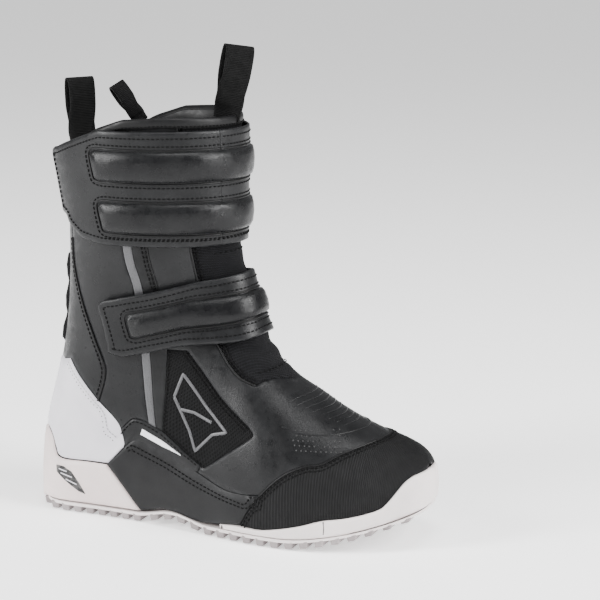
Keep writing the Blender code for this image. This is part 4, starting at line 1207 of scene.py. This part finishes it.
def strap_piece(name, edges, start, end, mat, on, cut=None, corner=6.0, lean=0.0, relief=None, **shape):
    """Strap or rib between two angles; cut names the end that meets the next piece without an edge."""
    low, high = edges
    top, far, bottom, near = strap_path(low, high, start, end, corner, lean)
    if cut == "end":
        rim = ring(curve(edge_run(low, end, near[0][0])[:-1] + near + edge_run(high, near[-1][0], end)[1:]))
        closing = ring(curve([(end, float(high(end))), (end, float(low(end)))]))
    elif cut == "start":
        rim = ring(curve(edge_run(high, start, far[0][0])[:-1] + far + edge_run(low, far[-1][0], start)[1:]))
        closing = ring(curve([(start, float(low(start))), (start, float(high(start)))]))
    else:
        rim = ring(curve(top + far + bottom + near + top[:1]))
        closing = rim[:1]
    outline = join(rim, closing)
    piece = patch(name, outline, mat, on, rim=rim, relief=relief, **shape)
    return piece, rim


def padded_rib(name, low, high, start, end, on, stand, cut=None, lean=-2.5):
    """Raised padded rib with a dark cord round it and a row of stitches outside."""
    def puff(points, chart, gap):
        wrinkle = np.sin(chart[:, 1] * 23 + 0.6 * np.sin(points[:, 2] * 0.35)) * np.sin(points[:, 2] * 0.21)
        return 0.10 * wrinkle * np.clip(gap / 4, 0, 1) + 0.5 * np.clip((gap - 4) / 6, 0, 1)
    piece, rim = strap_piece(name, (low, high), start, end, MATS["padding"], on, cut, 4.0, lean, puff,
                             low=STRAP_TOP - 0.5, high=RIB_TOP - 0.7, roll=4.2, cell=2.4)
    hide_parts(*stand)
    piping(name + "_cord", beside(rim, -0.9), 0.7, STRAP_TOP + 0.15, MATS["piping"], on, sides=6)
    sew(beside(rim, -3.4), STRAP_TOP + 0.1, on)


def build_upper_strap():
    """Two overlapping lengths of strap, each with its part of the two padded ribs."""
    start, end = UPPER_RANGE
    runs = (("a", start, MEET, "end", ("root", "front")), ("b", MEET, end, "start", ("end",)))
    for tag, a0, a1, cut, stands in runs:
        on = "upper_" + tag
        piece, rim = strap_piece("upper_strap_" + tag, (upper_low, upper_high), a0, a1, MATS["leather"],
                                 on, cut, corner=8.0, lean=-8.0 if tag == "b" else 0.0,
                                 relief=lambda points, chart, gap: flare(chart), **STRAP_SHAPE)
        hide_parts(*("upper_strap_" + s for s in stands))
        border = beside(rim, STITCH_INSET)
        sew(border, STRAP_TOP + 0.1 + flare(border), on)
        for row, z0, z1, first, last in (("top", 241, 262, -84, 111), ("bottom", 206, 227, -82, 106)):
            r0, r1 = max(a0, first), min(a1, last)
            stand = ["upper_rib_%s_%s" % (row, s) for s in stands]
            padded_rib("upper_rib_%s_%s_pad" % (row, tag), lambda a: 0 * a + z0, lambda a: 0 * a + z1,
                       r0, r1, on, stand, cut)


def build_lower_strap():
    """One length of strap with one padded rib."""
    piece, rim = strap_piece("lower_strap_leather", (lower_low, lower_high), -80, 107, MATS["leather"],
                             "lower", corner=8.5, lean=-12.0, **STRAP_SHAPE)
    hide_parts("lower_strap_root", "lower_strap_end")
    sew(beside(rim, STITCH_INSET), STRAP_TOP + 0.1, "lower")
    padded_rib("lower_rib_pad", lambda a: lower_low(a) + 12, lambda a: lower_high(a) - 13, -68, 86, "lower",
               stand=["lower_rib_root", "lower_rib_end"], lean=-4.5)


# ---------------------------------------------------------------- pull loops
def build_loop(name, x, y, lean, height, width, twist):
    """Ribbed webbing folded into a loop and sewn into the top edge."""
    up = unit(np.array((lean, 0.0, 1.0)))
    out = np.array((0.0, -1.0, 0.0))
    across = np.cross(up, out)
    base = np.array((x, y, float(collar_z(x)) + 1.6 + 0.5 * width * abs(up[0])))
    half = 4.8
    path = curve(((-0.10, -0.17), (-0.16, 0.0), (-0.5, 0.10), (-0.86, 0.32), (-1.0, 0.6), (-0.93, 0.83),
                  (-0.6, 0.965), (0, 1.0), (0.6, 0.965), (0.93, 0.83), (1.0, 0.6), (0.86, 0.32), (0.5, 0.10),
                  (0.16, 0.0), (0.10, -0.17)), step=0.055)
    rows, uv, walk = [], [], 0.0
    last = None
    for a, b in path:
        turn = twist * min(1.0, max(0.0, 0.15 + 1.6 * b))
        wide = across * math.cos(turn) - out * math.sin(turn)
        aside = out * math.cos(turn) + across * math.sin(turn)
        centre = base + aside * (a * half) + up * (b * height)
        walk += 0.0 if last is None else float(np.linalg.norm(centre - last))
        last = centre
        span = width * (0.5 - 0.03 * (1 - b))
        ws = np.linspace(-span, span, 9)
        rows.append([centre + wide * w for w in ws])
        uv.append([(w, walk) for w in ws])
    piece = grid_piece(name + "_webbing", rows, MATS["webbing"], name, uv=uv)
    wall = piece.modifiers.new("thickness", "SOLIDIFY")
    wall.thickness = 0.0013
    wall.offset = 0
    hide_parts(name)


def build_loops():
    build_loop("rear_loop", 21, 3, -0.03, 42, 19, 0.85)
    build_loop("front_loop", 135, -1, 0.20, 43, 20, 0.75)
    build_loop("side_loop", 47, 39, -0.8, 28, 11, 0.7)


# ---------------------------------------------------------------- floor, light, camera
def build_stage():
    """Bright floor and pale surroundings."""
    bpy.ops.mesh.primitive_plane_add(size=FLOOR_SIZE, location=(0, 0, CAD_BOX[0].z - 0.0004))
    floor = bpy.context.object
    floor.name = "floor"
    mat = bpy.data.materials.new("floor")
    mat.use_nodes = True
    shader = mat.node_tree.nodes["Principled BSDF"]
    shader.inputs["Base Color"].default_value = (0.92, 0.92, 0.92, 1)
    shader.inputs["Roughness"].default_value = 0.9
    shader.inputs["Emission Color"].default_value = (1, 1, 1, 1)
    shader.inputs["Emission Strength"].default_value = 0.75
    floor.data.materials.append(mat)
    world = bpy.data.worlds.new("studio")
    world.use_nodes = True
    world.node_tree.nodes["Background"].inputs[0].default_value = (0.95, 0.95, 0.96, 1)
    world.node_tree.nodes["Background"].inputs[1].default_value = 0.35
    bpy.context.scene.world = world


def lamp(name, place_at, aim, size, power):
    light = bpy.data.lights.new(name, "AREA")
    light.shape = "RECTANGLE"
    light.size, light.size_y = size
    light.energy = power
    obj = bpy.data.objects.new(name, light)
    bpy.context.scene.collection.objects.link(obj)
    obj.location = place_at
    obj.rotation_euler = (Vector(aim) - Vector(place_at)).to_track_quat("-Z", "Y").to_euler()


def build_lights():
    lamp("key", (-1.3, -1.2, 0.9), (0, 0, 0.15), (0.55, 1.3), 72)
    lamp("fill", (1.5, -0.2, 0.9), (0, 0, 0.15), (0.55, 1.3), 66)
    lamp("top", (0.3, -0.3, 1.9), (0, 0, 0.1), (0.9, 0.9), 26)


def build_camera():
    data = bpy.data.cameras.new("camera")
    cam = bpy.data.objects.new("camera", data)
    bpy.context.scene.collection.objects.link(cam)
    cam.location = (0.5214, -1.1646, 0.425)
    cam.rotation_euler = (math.radians(78.35), 0, math.radians(22.04))
    data.lens = 113.7
    data.sensor_width = 36
    data.shift_y = -0.0167
    bpy.context.scene.camera = cam


def finish_cad_nodes():
    """Better materials on the frame's own solids that stay in view."""
    looks = {"midsole": "foam", "insole_board": "band", "footbed": "lining", "upper_hook_pad": "gusset",
             "upper_loop_pad": "gusset", "lower_hook_pad": "gusset", "lower_loop_pad": "gusset"}
    for node, mat in looks.items():
        obj = frame["nodes"][node]
        obj.data.materials.clear()
        obj.data.materials.append(MATS[mat])


build_shells()
build_collar()
build_rear()
build_quarters()
build_strip_and_bands()
build_window()
build_vamp()
build_gusset()
build_rands()
build_toe_cap()
build_heel()
build_foxing()
build_outsole()
build_vamp_details()
sew_panels()
build_upper_strap()
build_lower_strap()
build_loops()
build_stitches()
build_dots()
finish_cad_nodes()
build_stage()
build_lights()
build_camera()
